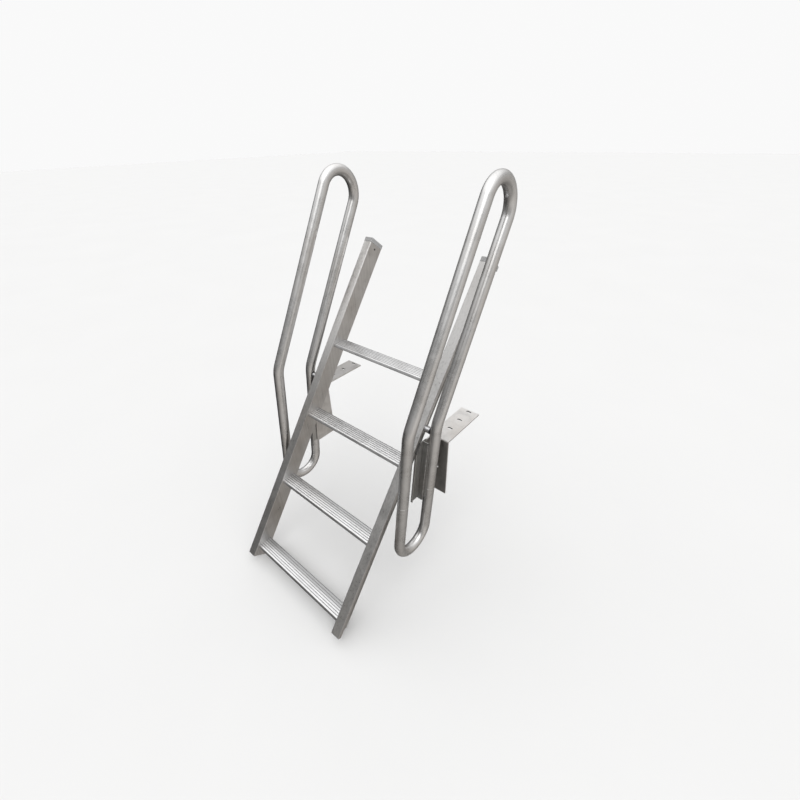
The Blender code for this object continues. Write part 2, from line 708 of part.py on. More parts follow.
def mount_outline():
    """Ribbed base with a web and a front lip: X outward, Y back from the leg centreline."""
    base, (web_front, web_rear) = MOUNT_BASE, MOUNT_WEB
    pts = [(0.0, MOUNT_FRONT), (0.0, MOUNT_REAR), (base, MOUNT_REAR), (base, web_rear),
           (MOUNT_WEB_END, web_rear), (MOUNT_WEB_END, web_front), (base, web_front)]
    pitch = (web_front - MOUNT_FRONT - RIB_MARGIN) / (MOUNT_RIBS + 1)
    for i in range(MOUNT_RIBS):
        centre = web_front - pitch * (i + 1)
        pts += [(base, centre + RIB_FOOT_HALF), (base + RIB_H, centre + RIB_TOP_HALF),
                (base + RIB_H, centre - RIB_TOP_HALF), (base, centre - RIB_FOOT_HALF)]
    pts += [(base, MOUNT_FRONT + MOUNT_LIP_W), (MOUNT_LIP, MOUNT_FRONT + MOUNT_LIP_W),
            (MOUNT_LIP + MOUNT_LIP_CROWN, MOUNT_FRONT + MOUNT_LIP_W / 2),
            (MOUNT_LIP, MOUNT_FRONT)]
    return pts


def make_mount(side, tag):
    """Mount on the ear, with its web reaching out to the hoop tube."""
    frame = axes(in_space(side * MOUNT_X, MOUNT_LOW), X_AXIS,
                 in_space(0, LOWER_BACK), in_space(0, LOWER))
    mount = prism(tag + "_hoop_mount", outward(mount_outline(), side), frame,
                  (MOUNT_TOP - MOUNT_LOW).length)
    # the top front corner is cut along the stile
    corner = stile_rectangle(TRIM_ALONG, (TRIM_FRONT, PAD_BACK + GAP))
    boolean(mount, slab(tag + "_mount_trim", corner, TRIM_X, side, where=TOOLS))
    for i, place in enumerate(BOLT_PLACES):
        drill(mount, "%s_mount_drill_%d" % (tag, i + 1), side, MOUNT_DRILL_X, place, BOLT_HOLE_R)
    keep(mount, "plate", FIXED)


def make_pad(side, tag):
    """Pad that fills the space between the mount's slanted cut and the stile's lip."""
    # where the pad's back face crosses the mount's top and front edges
    to_back = PAD_BACK - (MOUNT_TOP - STILE_START).dot(BACK)
    slope = LOWER_BACK.dot(BACK)
    upper_end = MOUNT_TOP + LOWER_BACK * (to_back / slope)
    drop = (to_back - slope * MOUNT_FRONT) / LOWER.dot(BACK)
    lower_end = MOUNT_TOP + LOWER * drop + LOWER_BACK * MOUNT_FRONT
    along = ((lower_end - STILE_START).dot(RUN) + PAD_END_IN,
             (upper_end - STILE_START).dot(RUN) - PAD_END_IN)
    outline = stile_rectangle(along, (PAD_FRONT, PAD_BACK))
    keep(slab(tag + "_rest_pad", outline, PAD_X, side), "sleeve", FIXED)


def make_mount_bolts(side, tag):
    """Bolts with their heads on the mount and nuts on the inner face of the ear."""
    length = BOLT_HEAD_X - (NUT_X - NUT_T - BOLT_PROUD)
    profile = [(0.0, 0.0), (0.0, BOLT_HEAD_TOP_R), (BOLT_HEAD_BEVEL, BOLT_HEAD_R),
               (BOLT_HEAD, BOLT_HEAD_R), (BOLT_HEAD, BOLT_R), (length, BOLT_R), (length, 0.0)]
    for i, place in enumerate(BOLT_PLACES):
        bolt = turned("%s_mount_bolt_%d" % (tag, i + 1), profile,
                      in_space(side * BOLT_HEAD_X, place), (-side, 0, 0))
        keep(bolt, "steel", FIXED)
        nut = cross_rod("%s_mount_nut_%d" % (tag, i + 1), side, (NUT_X - NUT_T, NUT_X), place,
                        NUT_R, sides=6, smooth_sides=False)
        drill(nut, "%s_nut_drill_%d" % (tag, i + 1), side, NUT_DRILL_X, place, BOLT_HOLE_R)
        keep(nut, "steel", FIXED)


# --------------------------------------------------------------------- assembly
for side, tag in SIDES:
    make_stile(side, tag)
    make_tread_screws(side, tag)
    make_cap(side, tag)
    make_pivot(side, tag)
    make_hoop(side, tag)
    make_bracket(side, tag)
    make_mount(side, tag)
    make_pad(side, tag)
    make_mount_bolts(side, tag)
make_treads()

# the stiles and treads swing together about the pivot pins
tilt_axis = bpy.data.objects.new("ladder_tilt_axis", None)
tilt_axis.empty_display_size = 0.05
PARTS.objects.link(tilt_axis)
tilt_axis.location = in_space(0.0, PIVOT)
bpy.context.view_layer.update()
for obj in LADDER:
    obj.parent = tilt_axis
    obj.matrix_parent_inverse = tilt_axis.matrix_world.inverted()

# set the ladder down on the finished frame
for obj in (tilt_axis, *FIXED, *TOOLS.objects):
    obj.location += DOCK_EDGE
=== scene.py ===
"""Boat boarding ladder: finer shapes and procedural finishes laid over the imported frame.

Four treads sit between two leaning channel stiles; a hoop of bent tube stands outside each
stile, held by a mount on a dock bracket. Pieces are built about the top front edge of the
dock and then moved to DOCK. X runs across the ladder (left is -X), +Y runs back over the
dock and +Z is up. Lengths are in metres.
"""

import math

import bmesh
import bpy
from mathutils import Matrix, Vector


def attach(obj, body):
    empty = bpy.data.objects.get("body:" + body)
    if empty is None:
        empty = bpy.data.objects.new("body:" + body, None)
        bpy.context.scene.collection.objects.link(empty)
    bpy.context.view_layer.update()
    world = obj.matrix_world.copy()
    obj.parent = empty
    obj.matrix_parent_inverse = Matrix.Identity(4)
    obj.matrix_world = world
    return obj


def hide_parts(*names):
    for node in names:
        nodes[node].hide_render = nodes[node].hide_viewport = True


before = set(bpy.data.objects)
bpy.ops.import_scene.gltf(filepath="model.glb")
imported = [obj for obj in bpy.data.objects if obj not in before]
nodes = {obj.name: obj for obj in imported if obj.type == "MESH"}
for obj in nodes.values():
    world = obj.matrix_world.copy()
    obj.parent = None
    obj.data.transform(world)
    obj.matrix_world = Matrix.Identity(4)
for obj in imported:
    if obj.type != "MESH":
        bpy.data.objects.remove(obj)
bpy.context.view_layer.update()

# ------------------------------------------------------------ shared sizes
DOCK = Vector((0.0, 0.096355, 0.651663))     # top front edge of the dock
SIDES = ((-1, "left"), (1, "right"))
GAP = 0.0003                     # clearance between neighbouring parts
SEAT_GAP = 0.0001                # clearance under a screw head
PAD_T = 0.0034                   # rest pad thickness

# stiles: "along" is measured up the stile, "depth" back from its front face
LEAN = math.radians(53.33)
FRONT_Y = -0.1091                # front face of the stile at dock height
FOOT_AT = -0.7587
HEAD_AT = 0.6845
CLEAR_HALF = 0.2525              # half the clear width between the stiles
STILE_W = 0.0392
STILE_D = 0.0722
STILE_LIP = 0.0155               # width of the rear flange
STILE_RETURN = 0.0160            # depth of the outer return
STILE_WALL = 0.0032
WEB_HOLE_AT = (0.5108, 0.0559)   # along, depth

# stile caps
CAP_T = 0.0180
CAP_PROUD = 0.0012
CAP_PLUG = 0.0420
CAP_SCREW_AT = (0.6676, 0.0341)  # along, depth
# (height, inset) of the rings up the cap: side with a fine groove, then a crowned top
CAP_RINGS = (
    (0.0, 0.0007), (0.0002, 0.0002), (0.0006, 0.0), (0.0106, 0.0), (0.0108, 0.0003),
    (0.0112, 0.0003), (0.0114, 0.0000), (0.0154, 0.0001), (0.0164, 0.0006), (0.0171, 0.0014),
    (0.0175, 0.0024), (0.0178, 0.0040), (CAP_T, 0.0065))

# treads
TREADS = 4
TREAD_Z0 = -0.5741
RISE = 0.2540
TREAD_D = 0.0644
TREAD_SETBACK = 0.0058
GROOVES = 6
GROOVE_FIRST = 0.0156
GROOVE_PITCH = 0.0092
GROOVE_D = 0.0018
GROOVE_W = 0.0027
NOSE_BACK = 0.0022
NOSE_H = 0.0104
NOSE_FLAT = 0.0086               # depth at which the upright nose starts to slope back
NOSE_TOP = 0.0074                # distance back to the front of the top face
SKIN = 0.0026
REAR_H = 0.0150
HEM = 0.0060
PORT_AT = (0.0190, 0.0480)       # screw ports, back from the tread front
PORT_Z = 0.0088                  # port centres below the tread top
PORT_R = 0.0026
PORT_HALF = 0.0045               # half width of the boss round a port
PORT_LOW = 0.0135                # underside of the boss

# hoops
HOOP_X = 0.3350
TUBE_R = 0.0200
TUBE_WALL = 0.0025
HOOP_UP = math.radians(60.8)     # slope above the knee
HOOP_DOWN = math.radians(83.2)   # slope below the knee
HOOP_HALF = 0.0796               # half the distance between the legs
HOOP_TOP = 0.698
HOOP_LOW = 0.4704
KNEE = Vector((-0.1180, 0.1146))
KNEE_R = 0.120
FRONT_SEAM = -0.150
REAR_SEAM = -0.180
# (distance from a tube end, drop below full radius): rounded end, then a shallow rolled ring
TUBE_END = (
    (0.0, 0.0008), (0.0003, 0.0004), (0.0009, 0.0001), (0.0020, 0.0), (0.0118, 0.0),
    (0.0124, 0.00022), (0.0130, 0.00045), (0.0136, 0.00022), (0.0142, 0.0), (0.0160, 0.0))
PIVOT_Z = 0.0580
PIN_R = 0.0050
BOSS_R = 0.0120

# brackets
BRACKET_X0 = 0.2823
BRACKET_X1 = 0.3630
PLATE_X = BRACKET_X0 + 0.0005    # inner side of the plates
PLATE_T = 0.0050
DECK_LEG = 0.2090
FACE_LEG = 0.2600
BEND_R = 0.0040
SLOT_Y = (0.0677, 0.1329, 0.1990)
SLOT_L = 0.0200
SLOT_W = 0.0080
FACE_HOLE_Z = -0.1375
FACE_HOLE_R = 0.0042
EAR_TOP = -0.0030
EAR_TOP_Y = -0.0800
EAR_LOW_Y = -0.1070

# hoop mounts: section places are measured back from the rear leg's centre line
MOUNT_X = PLATE_X + PLATE_T + GAP
MOUNT_BASE = 0.0030
MOUNT_FRONT = -0.0470
MOUNT_REAR = 0.0130
MOUNT_LIP = 0.0085
MOUNT_WEB0 = -0.0100
MOUNT_WEB1 = -0.0050
MOUNT_TOP = 0.0080
MOUNT_LOW = -0.2560
MOUNT_RIBS = 3
MOUNT_BOLT_Z = (-0.0550, -0.1750)
MOUNT_BOLT_S = 0.0045
MOUNT_BOLT_R = 0.0030
MOUNT_HOLE_R = MOUNT_BOLT_R + 0.0003

# button-head screws
TREAD_SCREW = dict(shank_r=0.0023, shank_l=0.0200, head_r=0.0048, head_h=0.0027)
MOUNT_BOLT = dict(shank_r=MOUNT_BOLT_R, shank_l=0.0128, head_r=0.0052, head_h=0.0026)
CAP_SCREW = dict(shank_r=0.0020, shank_l=0.0118, head_r=0.0038, head_h=0.0016)


# ------------------------------------------------------------ shared geometry
def slope(angle):
    """(y, z) direction rising at an angle from the deck."""
    return Vector((math.cos(angle), math.sin(angle)))


def rearward(angle):
    """(y, z) direction square to a slope, pointing back."""
    return Vector((math.sin(angle), -math.cos(angle)))


RUN = Vector((0.0, math.cos(LEAN), math.sin(LEAN)))      # up the stile
BACK = Vector((0.0, math.sin(LEAN), -math.cos(LEAN)))    # through its depth
UPPER_RUN, UPPER_BACK = slope(HOOP_UP), rearward(HOOP_UP)
LEG_RUN, LEG_BACK = slope(HOOP_DOWN), rearward(HOOP_DOWN)
LEG_RUN_3D = Vector((0, LEG_RUN.x, LEG_RUN.y))
LEG_BACK_3D = Vector((0, LEG_BACK.x, LEG_BACK.y))
MITRE = (UPPER_BACK + LEG_BACK).normalized()
KNEE_FRONT = KNEE - MITRE * (HOOP_HALF / UPPER_BACK.dot(MITRE))
KNEE_REAR = KNEE + MITRE * (HOOP_HALF / UPPER_BACK.dot(MITRE))
TOP_CENTRE = KNEE + UPPER_RUN * HOOP_TOP
LOW_CENTRE = KNEE - LEG_RUN * HOOP_LOW


def on_leg(knee, z):
    """(y, z) point at a height on the leg that runs down from a knee."""
    return Vector((knee.x + (z - knee.y) / math.tan(HOOP_DOWN), z))


def rear_leg(z):
    return on_leg(KNEE_REAR, z)


PIVOT_Y = rear_leg(PIVOT_Z).x


def mount_bolt(z):
    return rear_leg(z) + LEG_BACK * MOUNT_BOLT_S


def on_stile(along, depth, x):
    return Vector((x, FRONT_Y, 0.0)) + RUN * along + BACK * depth


def tread_front(step):
    """(y, z) of a tread's front edge at the level of its top."""
    z = TREAD_Z0 + step * RISE
    return FRONT_Y + z / math.tan(LEAN) + TREAD_SETBACK, z


# ------------------------------------------------------------------ node trees
class Nodes:
    """Shorthand for writing a node tree."""

    def __init__(self, tree):
        self.tree = tree

    def node(self, kind, **settings):
        made = self.tree.nodes.new(kind)
        for key, value in settings.items():
            setattr(made, key, value)
        return made

    def feed(self, socket, source):
        """Give a socket a colour, a number or a link."""
        if isinstance(source, tuple):
            socket.default_value = (*source, 1.0)
        elif isinstance(source, (int, float)):
            socket.default_value = source
        else:
            self.tree.links.new(source, socket)

    def calc(self, operation, first, second=0.0, clamp=False):
        made = self.node("ShaderNodeMath", operation=operation, use_clamp=clamp)
        self.feed(made.inputs[0], first)
        self.feed(made.inputs[1], second)
        return made.outputs[0]

    def plus(self, first, second, clamp=False):
        return self.calc("ADD", first, second, clamp)

    def minus(self, first, second):
        return self.calc("SUBTRACT", first, second)

    def times(self, first, second, clamp=False):
        return self.calc("MULTIPLY", first, second, clamp)

    def ease(self, source, start, span):
        """0 up to start, then rising to 1 over span."""
        return self.calc("DIVIDE", self.minus(source, start), span, clamp=True)

    def swing(self, noise, amount):
        """Noise centred on zero and scaled."""
        return self.times(self.minus(noise, 0.5), amount)

    def split(self, vector):
        made = self.node("ShaderNodeSeparateXYZ")
        self.feed(made.inputs[0], vector)
        return made.outputs

    def scaled(self, vector, scale):
        made = self.node("ShaderNodeVectorMath", operation="SCALE")
        self.feed(made.inputs[0], vector)
        self.feed(made.inputs["Scale"], scale)
        return made.outputs[0]

    def ramp(self, fac, stops):
        """Colour ramp of (position, colour or grey level)."""
        made = self.node("ShaderNodeValToRGB")
        elements = made.color_ramp.elements
        while len(elements) > 1:
            elements.remove(elements[-1])
        for i, (position, color) in enumerate(stops):
            element = elements[0] if i == 0 else elements.new(position)
            element.position = position
            rgb = color if isinstance(color, tuple) else (color,) * 3
            element.color = (*rgb, 1.0)
        self.feed(made.inputs["Fac"], fac)
        return made.outputs["Color"]

    def mix(self, fac, first, second, blend="MIX"):
        made = self.node("ShaderNodeMix", data_type="RGBA", blend_type=blend)
        for index, source in ((0, fac), (6, first), (7, second)):
            self.feed(made.inputs[index], source)
        return made.outputs[2]


class Material(Nodes):
    """A new material whose tree ends in the Principled shader."""

    def __init__(self, name):
        self.mat = bpy.data.materials.new(name)
        self.mat.use_nodes = True
        super().__init__(self.mat.node_tree)
        self.bsdf = self.tree.nodes["Principled BSDF"]

    def coords(self, kind="Object", rotation=(0, 0, 0), scale=(1, 1, 1)):
        mapping = self.node("ShaderNodeMapping")
        mapping.inputs["Rotation"].default_value = rotation
        mapping.inputs["Scale"].default_value = scale
        self.feed(mapping.inputs["Vector"], self.node("ShaderNodeTexCoord").outputs[kind])
        return mapping.outputs[0]

    def noise(self, vector, scale=1.0, detail=3.0, rough=0.55, distortion=0.0):
        made = self.node("ShaderNodeTexNoise")
        made.inputs["Scale"].default_value = scale
        made.inputs["Detail"].default_value = detail
        made.inputs["Roughness"].default_value = rough
        made.inputs["Distortion"].default_value = distortion
        self.feed(made.inputs["Vector"], vector)
        return made.outputs["Fac"]

    def edge(self, radius=0.0012, gain=5.0):
        """0 on flats, towards 1 on sharp edges."""
        bevel = self.node("ShaderNodeBevel", samples=6)
        bevel.inputs["Radius"].default_value = radius
        normal = self.node("ShaderNodeNewGeometry").outputs["Normal"]
        dot = self.node("ShaderNodeVectorMath", operation="DOT_PRODUCT")
        self.feed(dot.inputs[0], bevel.outputs[0])
        self.feed(dot.inputs[1], normal)
        return self.times(self.minus(1.0, dot.outputs["Value"]), gain, clamp=True)

    def surface(self, tone, rough, metallic=0.0):
        self.feed(self.bsdf.inputs["Base Color"], tone)
        self.feed(self.bsdf.inputs["Roughness"], rough)
        self.bsdf.inputs["Metallic"].default_value = metallic

    def bump(self, height, strength, depth):
        made = self.node("ShaderNodeBump")
        made.inputs["Strength"].default_value = strength
        made.inputs["Distance"].default_value = depth
        self.feed(made.inputs["Height"], height)
        self.feed(self.bsdf.inputs["Normal"], made.outputs[0])


# ------------------------------------------------------------------- materials
def shade(color, gain, lift=0.0):
    return tuple(min(1.0, channel * gain + lift) for channel in color)


# Die lines: coordinate kind, rotation, scale of the fine lines, scale of the broad bands
LINES_ALONG_X = ("Object", (0, 0, 0), (6, 1500, 1500), (2.0, 260, 260))
LINES_ON_UV = ("UV", (0, 0, 0), (6, 1400, 1), (2.2, 150, 1))


def lines_along(run):
    """Die lines along a direction in the YZ plane, which the rotation turns onto Z."""
    return "Object", (math.atan2(run.y, run.z), 0.0, 0.0), (1500, 1500, 6), (170, 170, 1.8)


def paint_front_light(tree, tone, band, toward, foot, head):
    """Painted light and shade on the faces that look toward a direction, changing from the foot to
    the head.
    """
    texture = tree.node("ShaderNodeTexCoord")
    dot = tree.node("ShaderNodeVectorMath", operation="DOT_PRODUCT")
    dot.inputs[1].default_value = toward
    tree.feed(dot.inputs[0], texture.outputs["Normal"])
    front = tree.ease(dot.outputs["Value"], start=0.80, span=0.15)
    height = tree.ease(tree.split(texture.outputs["Object"])["Z"], start=0.70, span=0.45)
    painted_tone = tree.mix(1.0, band, tree.mix(height, foot, head), "MULTIPLY")
    return tree.mix(tree.times(front, 0.75), tone, painted_tone)


def aluminium(name, base, rough, lines, streak=1.0, mottle=1.0, aniso=0.0, grime=0.0,
              tint=(0.70, 0.64, 0.58), painted_shade=0.0, front_light=None):
    """Mill finish metal: die lines, soft blotches, handling marks, bright worn edges.

    streak and mottle weigh the lines and blotches; grime stains by tint; the shade weight darkens by
    an attribute that holds painted shade; the front light is (direction, foot colour, head colour)
    of painted light and shade on the faces that look that way.
    """
    tree = Material(name)
    kind, rotation, fine_scale, broad_scale = lines
    spot = tree.coords()
    fine = tree.noise(tree.coords(kind, rotation, fine_scale), detail=2.0, rough=0.6)
    bands = tree.noise(tree.coords(kind, rotation, broad_scale), detail=3.0, rough=0.6)
    cloud = tree.noise(spot, scale=17.0, detail=5.0, rough=0.62, distortion=0.7)
    speck = tree.noise(spot, scale=420.0, detail=2.0, rough=0.5)
    scratch = tree.coords(rotation=(0.6, 0.4, 0.9), scale=(34, 620, 34))
    scratch = tree.noise(scratch, detail=1.0, rough=0.4, distortion=1.2)
    scuff = tree.ramp(scratch, [(0.0, 0), (0.68, 0), (0.73, 1)])
    edge = tree.edge()

    # colour: blotches, bands, stains, painted shade, painted light and shade on front faces, then
    # bright edges and scuffs
    dark, light = shade(base, 1 - 0.15 * mottle), shade(base, 1 + 0.10 * mottle)
    tone = tree.ramp(cloud, [(0.30, dark), (0.50, base), (0.72, light)])
    band = tree.ramp(bands, [(0.28, 1 - 0.17 * streak), (0.5, 1.0), (0.72, 1 + 0.06 * streak)])
    tone = tree.mix(1.0, tone, band, "MULTIPLY")
    if grime:
        patch = tree.noise(spot, scale=5.5, distortion=0.3)
        stain = tree.ramp(patch, [(0.46, 0), (0.74, 1)])
        stained = tree.mix(1.0, tone, tint, "MULTIPLY")
        tone = tree.mix(tree.times(stain, grime), tone, stained)
    # painted shade: darkens towards near black where the shade attribute is set
    if painted_shade:
        layer = tree.node("ShaderNodeAttribute", attribute_name="painted_shade").outputs["Fac"]
        tone = tree.mix(tree.times(layer, painted_shade, clamp=True), tone, (0.10, 0.10, 0.10))
    # painted light and shade on the faces that look one way, changing from foot to head
    if front_light:
        tone = paint_front_light(tree, tone, band, *front_light)
    tone = tree.mix(tree.times(edge, 0.55), tone, shade(base, 1.4))
    tone = tree.mix(tree.times(scuff, 0.10), tone, shade(base, 1.3))

    # roughness: varies with bands and blotches, smoother on edges, duller on scuffs
    gloss = tree.plus(rough, tree.swing(bands, 0.26 * streak))
    gloss = tree.plus(gloss, tree.swing(cloud, 0.34 * mottle))
    gloss = tree.minus(gloss, tree.times(edge, 0.10))
    gloss = tree.plus(gloss, tree.times(scuff, 0.05), clamp=True)
    tree.surface(tone, gloss, metallic=1.0)

    # relief: raised lines, bands and specks, sunken scuffs
    height = tree.plus(tree.times(fine, 0.6 * streak), tree.times(bands, 0.35 * streak))
    height = tree.plus(height, tree.times(speck, 0.10))
    height = tree.minus(height, tree.times(scuff, 0.18))
    tree.bump(height, strength=0.35, depth=0.00012)
    if aniso:
        tree.bsdf.inputs["Anisotropic"].default_value = aniso
        tangent = tree.node("ShaderNodeTangent", direction_type="UV_MAP")
        tree.feed(tree.bsdf.inputs["Tangent"], tangent.outputs[0])
    return tree.mat


def steel(name, dark, light, worn):
    """Turned fastener: fine marks, a few dull patches and worn edges."""
    tree = Material(name)
    marks = tree.noise(tree.coords(scale=(2600, 260, 260)), detail=2.0, rough=0.5)
    cloud = tree.noise(tree.coords(), scale=120.0, rough=0.6)
    tone = tree.ramp(cloud, [(0.3, dark), (0.7, light)])
    tone = tree.mix(tree.edge(radius=0.0006, gain=4.0), tone, worn)
    tree.surface(tone, tree.plus(0.22, tree.times(marks, 0.18)), metallic=1.0)
    tree.bump(marks, strength=0.25, depth=0.00008)
    return tree.mat


def moulded(name, base, rough, grain=900.0, depth=0.00010, wear=0.5):
    """Moulded plastic or rubber: fine pebble grain, soft colour drift and paler edges."""
    tree = Material(name)
    spot = tree.coords()
    cloud = tree.noise(spot, scale=26.0, detail=4.0, rough=0.6)
    pebble = tree.noise(spot, scale=grain, detail=2.0, rough=0.5)
    tone = tree.ramp(cloud, [(0.3, shade(base, 0.86)), (0.7, shade(base, 1.10))])
    edge = tree.edge(radius=0.0009, gain=4.0)
    tone = tree.mix(tree.times(edge, wear), tone, shade(base, 1.5, lift=0.03))
    tree.surface(tone, tree.plus(rough, tree.swing(pebble, 0.16), clamp=True))
    tree.bump(pebble, strength=0.4, depth=depth)
    return tree.mat


def weld_finish(name):
    """Brushed-down weld: dull, slightly sooty aluminium with a coarse skin."""
    tree = Material(name)
    spot = tree.coords()
    soot = tree.noise(spot, scale=90.0, detail=4.0, rough=0.6)
    skin_noise = tree.noise(spot, scale=900.0, rough=0.6)
    tone = tree.ramp(soot, [(0.32, (0.34, 0.33, 0.32)), (0.68, (0.66, 0.65, 0.64))])
    tree.surface(tone, tree.plus(0.36, tree.times(soot, 0.3)), metallic=1.0)
    tree.bump(skin_noise, strength=0.5, depth=0.0002)
    return tree.mat


# painted light and shade on the front faces of each stile: colour at the foot, colour at the head
STILE_FRONT_LIGHT = {-1: ((0.60, 0.59, 0.58), (1.0, 0.985, 0.965)),
              1: ((0.88, 0.87, 0.855), (0.44, 0.435, 0.43))}
STILE_MATS = {
    side: aluminium(tag + "_stile_mill_finish_painted_light", base=(0.60, 0.59, 0.58), rough=0.34,
                    lines=lines_along(RUN), streak=0.9, mottle=0.8, grime=0.45,
                    front_light=(-BACK, *STILE_FRONT_LIGHT[side]))
    for side, tag in SIDES}
# painted shade: the lower treads get darker base tones
TREAD_SHADED_TONES = (0.72, 0.84, 0.95, 0.96)       # lowest tread first
TREAD_MATS = [
    aluminium("tread_%d_grooved_finish" % (step + 1), base=(tone, tone, tone + 0.005),
              rough=0.34, lines=LINES_ALONG_X, streak=0.5, mottle=0.8, grime=0.3,
              tint=(0.84, 0.82, 0.79), painted_shade=0.9)
    for step, tone in enumerate(TREAD_SHADED_TONES)]
TUBE_MAT = aluminium("hoop_drawn_tube", base=(0.70, 0.695, 0.69), rough=0.29,
                     lines=LINES_ON_UV, streak=0.8, mottle=0.7, aniso=0.35, grime=0.3)
PLATE_MAT = aluminium("bracket_plate_finish_painted_shade", base=(0.72, 0.705, 0.69), rough=0.46,
                      lines=lines_along(Vector((0, 0, 1))), streak=0.4, mottle=1.3,
                      grime=0.6, tint=(0.82, 0.78, 0.74), painted_shade=0.95)
SLEEVE_MAT = aluminium("inner_plug_finish", base=(0.60, 0.60, 0.60), rough=0.40,
                       lines=lines_along(LEG_RUN_3D), streak=0.6)
MOUNT_MAT = aluminium("mount_extrusion_finish_painted_shade", base=(0.60, 0.60, 0.59), rough=0.42,
                      lines=lines_along(LEG_RUN_3D), streak=1.1, grime=0.4, painted_shade=0.9)
STEEL_MAT = steel("stainless_fastener", dark=(0.42, 0.42, 0.43), light=(0.66, 0.66, 0.67),
                  worn=(0.85, 0.85, 0.86))
BLACK_STEEL_MAT = steel("blackened_fastener", dark=(0.035, 0.034, 0.033),
                        light=(0.075, 0.072, 0.070), worn=(0.16, 0.155, 0.15))
WELD_MAT = weld_finish("brushed_weld")
CAP_MAT = moulded("cap_grey_moulded", base=(0.405, 0.405, 0.405), rough=0.50)
RUBBER_MAT = moulded("rest_pad_rubber", base=(0.085, 0.083, 0.080), rough=0.78, grain=1500.0,
                     depth=0.00016, wear=0.25)
NYLON_MAT = moulded("pivot_washer_nylon", base=(0.045, 0.045, 0.048), rough=0.50, grain=700.0)


def frame_material(name):
    """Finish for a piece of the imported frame."""
    if "splice" in name:
        return SLEEVE_MAT
    if name.startswith("tread"):
        return TREAD_MATS[1]
    if name.endswith("_stile"):
        return STILE_MATS[1]
    if "hoop_upper" in name or "hoop_lower" in name or name.endswith("dock_bracket"):
        return PLATE_MAT
    for ending, mat in (("hoop_mount", MOUNT_MAT), ("stile_cap", CAP_MAT),
                        ("rest_pad", RUBBER_MAT), ("pivot_washer", NYLON_MAT)):
        if name.endswith(ending):
            return mat
    return STEEL_MAT


for name in nodes:
    for slot in nodes[name].material_slots:
        slot.material = frame_material(name)


# ------------------------------------------------------------------- builders
def link(obj):
    bpy.context.scene.collection.objects.link(obj)
    return obj


def to_object(name, work):
    mesh = bpy.data.meshes.new(name)
    work.to_mesh(mesh)
    work.free()
    return link(bpy.data.objects.new(name, mesh))


def orient(work):
    """Point every face outward."""
    bmesh.ops.recalc_face_normals(work, faces=work.faces)
    if all(e.is_manifold for e in work.edges) and work.calc_volume(signed=True) < 0:
        bmesh.ops.reverse_faces(work, faces=work.faces)


def settle(mesh):
    """Merge doubled vertices and orient the faces."""
    work = bmesh.new()
    work.from_mesh(mesh)
    bmesh.ops.remove_doubles(work, verts=work.verts, dist=1e-6)
    orient(work)
    work.to_mesh(mesh)
    work.free()


def circle(sides):
    """(cosine, sine) pairs round a circle."""
    angles = [2 * math.pi * k / sides for k in range(sides)]
    return [(math.cos(angle), math.sin(angle)) for angle in angles]


def tube_ring(work, x, centre, across, radius, sides):
    """Ring of vertices round a (y, z) centre, lying in X and the (y, z) direction across."""
    return [work.verts.new((x + radius * cosine,
                            centre.x + across.x * radius * sine,
                            centre.y + across.y * radius * sine))
            for cosine, sine in circle(sides)]


def skin(work, rings):
    """Join successive rings with faces; a ring of one vertex closes to a point."""
    for low, high in zip(rings, rings[1:]):
        sides = max(len(low), len(high))
        for k in range(sides):
            after = (k + 1) % sides
            if len(low) == 1:
                work.faces.new((low[0], high[after], high[k]))
            elif len(high) == 1:
                work.faces.new((low[k], low[after], high[0]))
            else:
                work.faces.new((low[k], low[after], high[after], high[k]))


def fillet(points, steps=4):
    """Round the corners of a closed outline of (x, y, radius)."""
    out = []
    for i, (x, y, radius) in enumerate(points):
        corner = Vector((x, y))
        before = Vector(points[i - 1][:2]) - corner
        after = Vector(points[(i + 1) % len(points)][:2]) - corner
        if radius <= 0.0 or before.length < 1e-7 or after.length < 1e-7:
            out.append((x, y))
            continue
        before_l, after_l = before.length, after.length
        before, after = before / before_l, after / after_l
        angle = before.angle(after)
        if angle > math.radians(176):
            out.append((x, y))
            continue
        # the arc may use up no more than 0.48 of either side
        setback = min(radius / math.tan(angle / 2), 0.48 * before_l, 0.48 * after_l)
        radius = setback * math.tan(angle / 2)
        centre = corner + (before + after).normalized() * (radius / math.sin(angle / 2))
        start = (corner + before * setback) - centre
        end = (corner + after * setback) - centre
        first = math.atan2(start.y, start.x)
        sweep = math.atan2(start.x * end.y - start.y * end.x, start.dot(end))
        for k in range(steps + 1):
            turn = first + sweep * k / steps
            out.append((centre.x + radius * math.cos(turn), centre.y + radius * math.sin(turn)))
    return out


def axes(origin, x_dir, y_dir, z_dir):
    return Matrix.Translation(origin) @ Matrix((x_dir, y_dir, z_dir)).transposed().to_4x4()


def stile_frame(side, along):
    """X, depth and run of a stile, from its inner front corner."""
    return axes(on_stile(along, 0.0, side * CLEAR_HALF), Vector((1, 0, 0)), BACK, RUN)


def section_frame(x, y=0.0, z=0.0):
    """Outline drawn in (y, z) and extruded along +X."""
    return axes(Vector((x, y, z)), Vector((0, 1, 0)), Vector((0, 0, 1)), Vector((1, 0, 0)))


def mirrored(side, outline):
    return [(side * x, y) for x, y in outline]


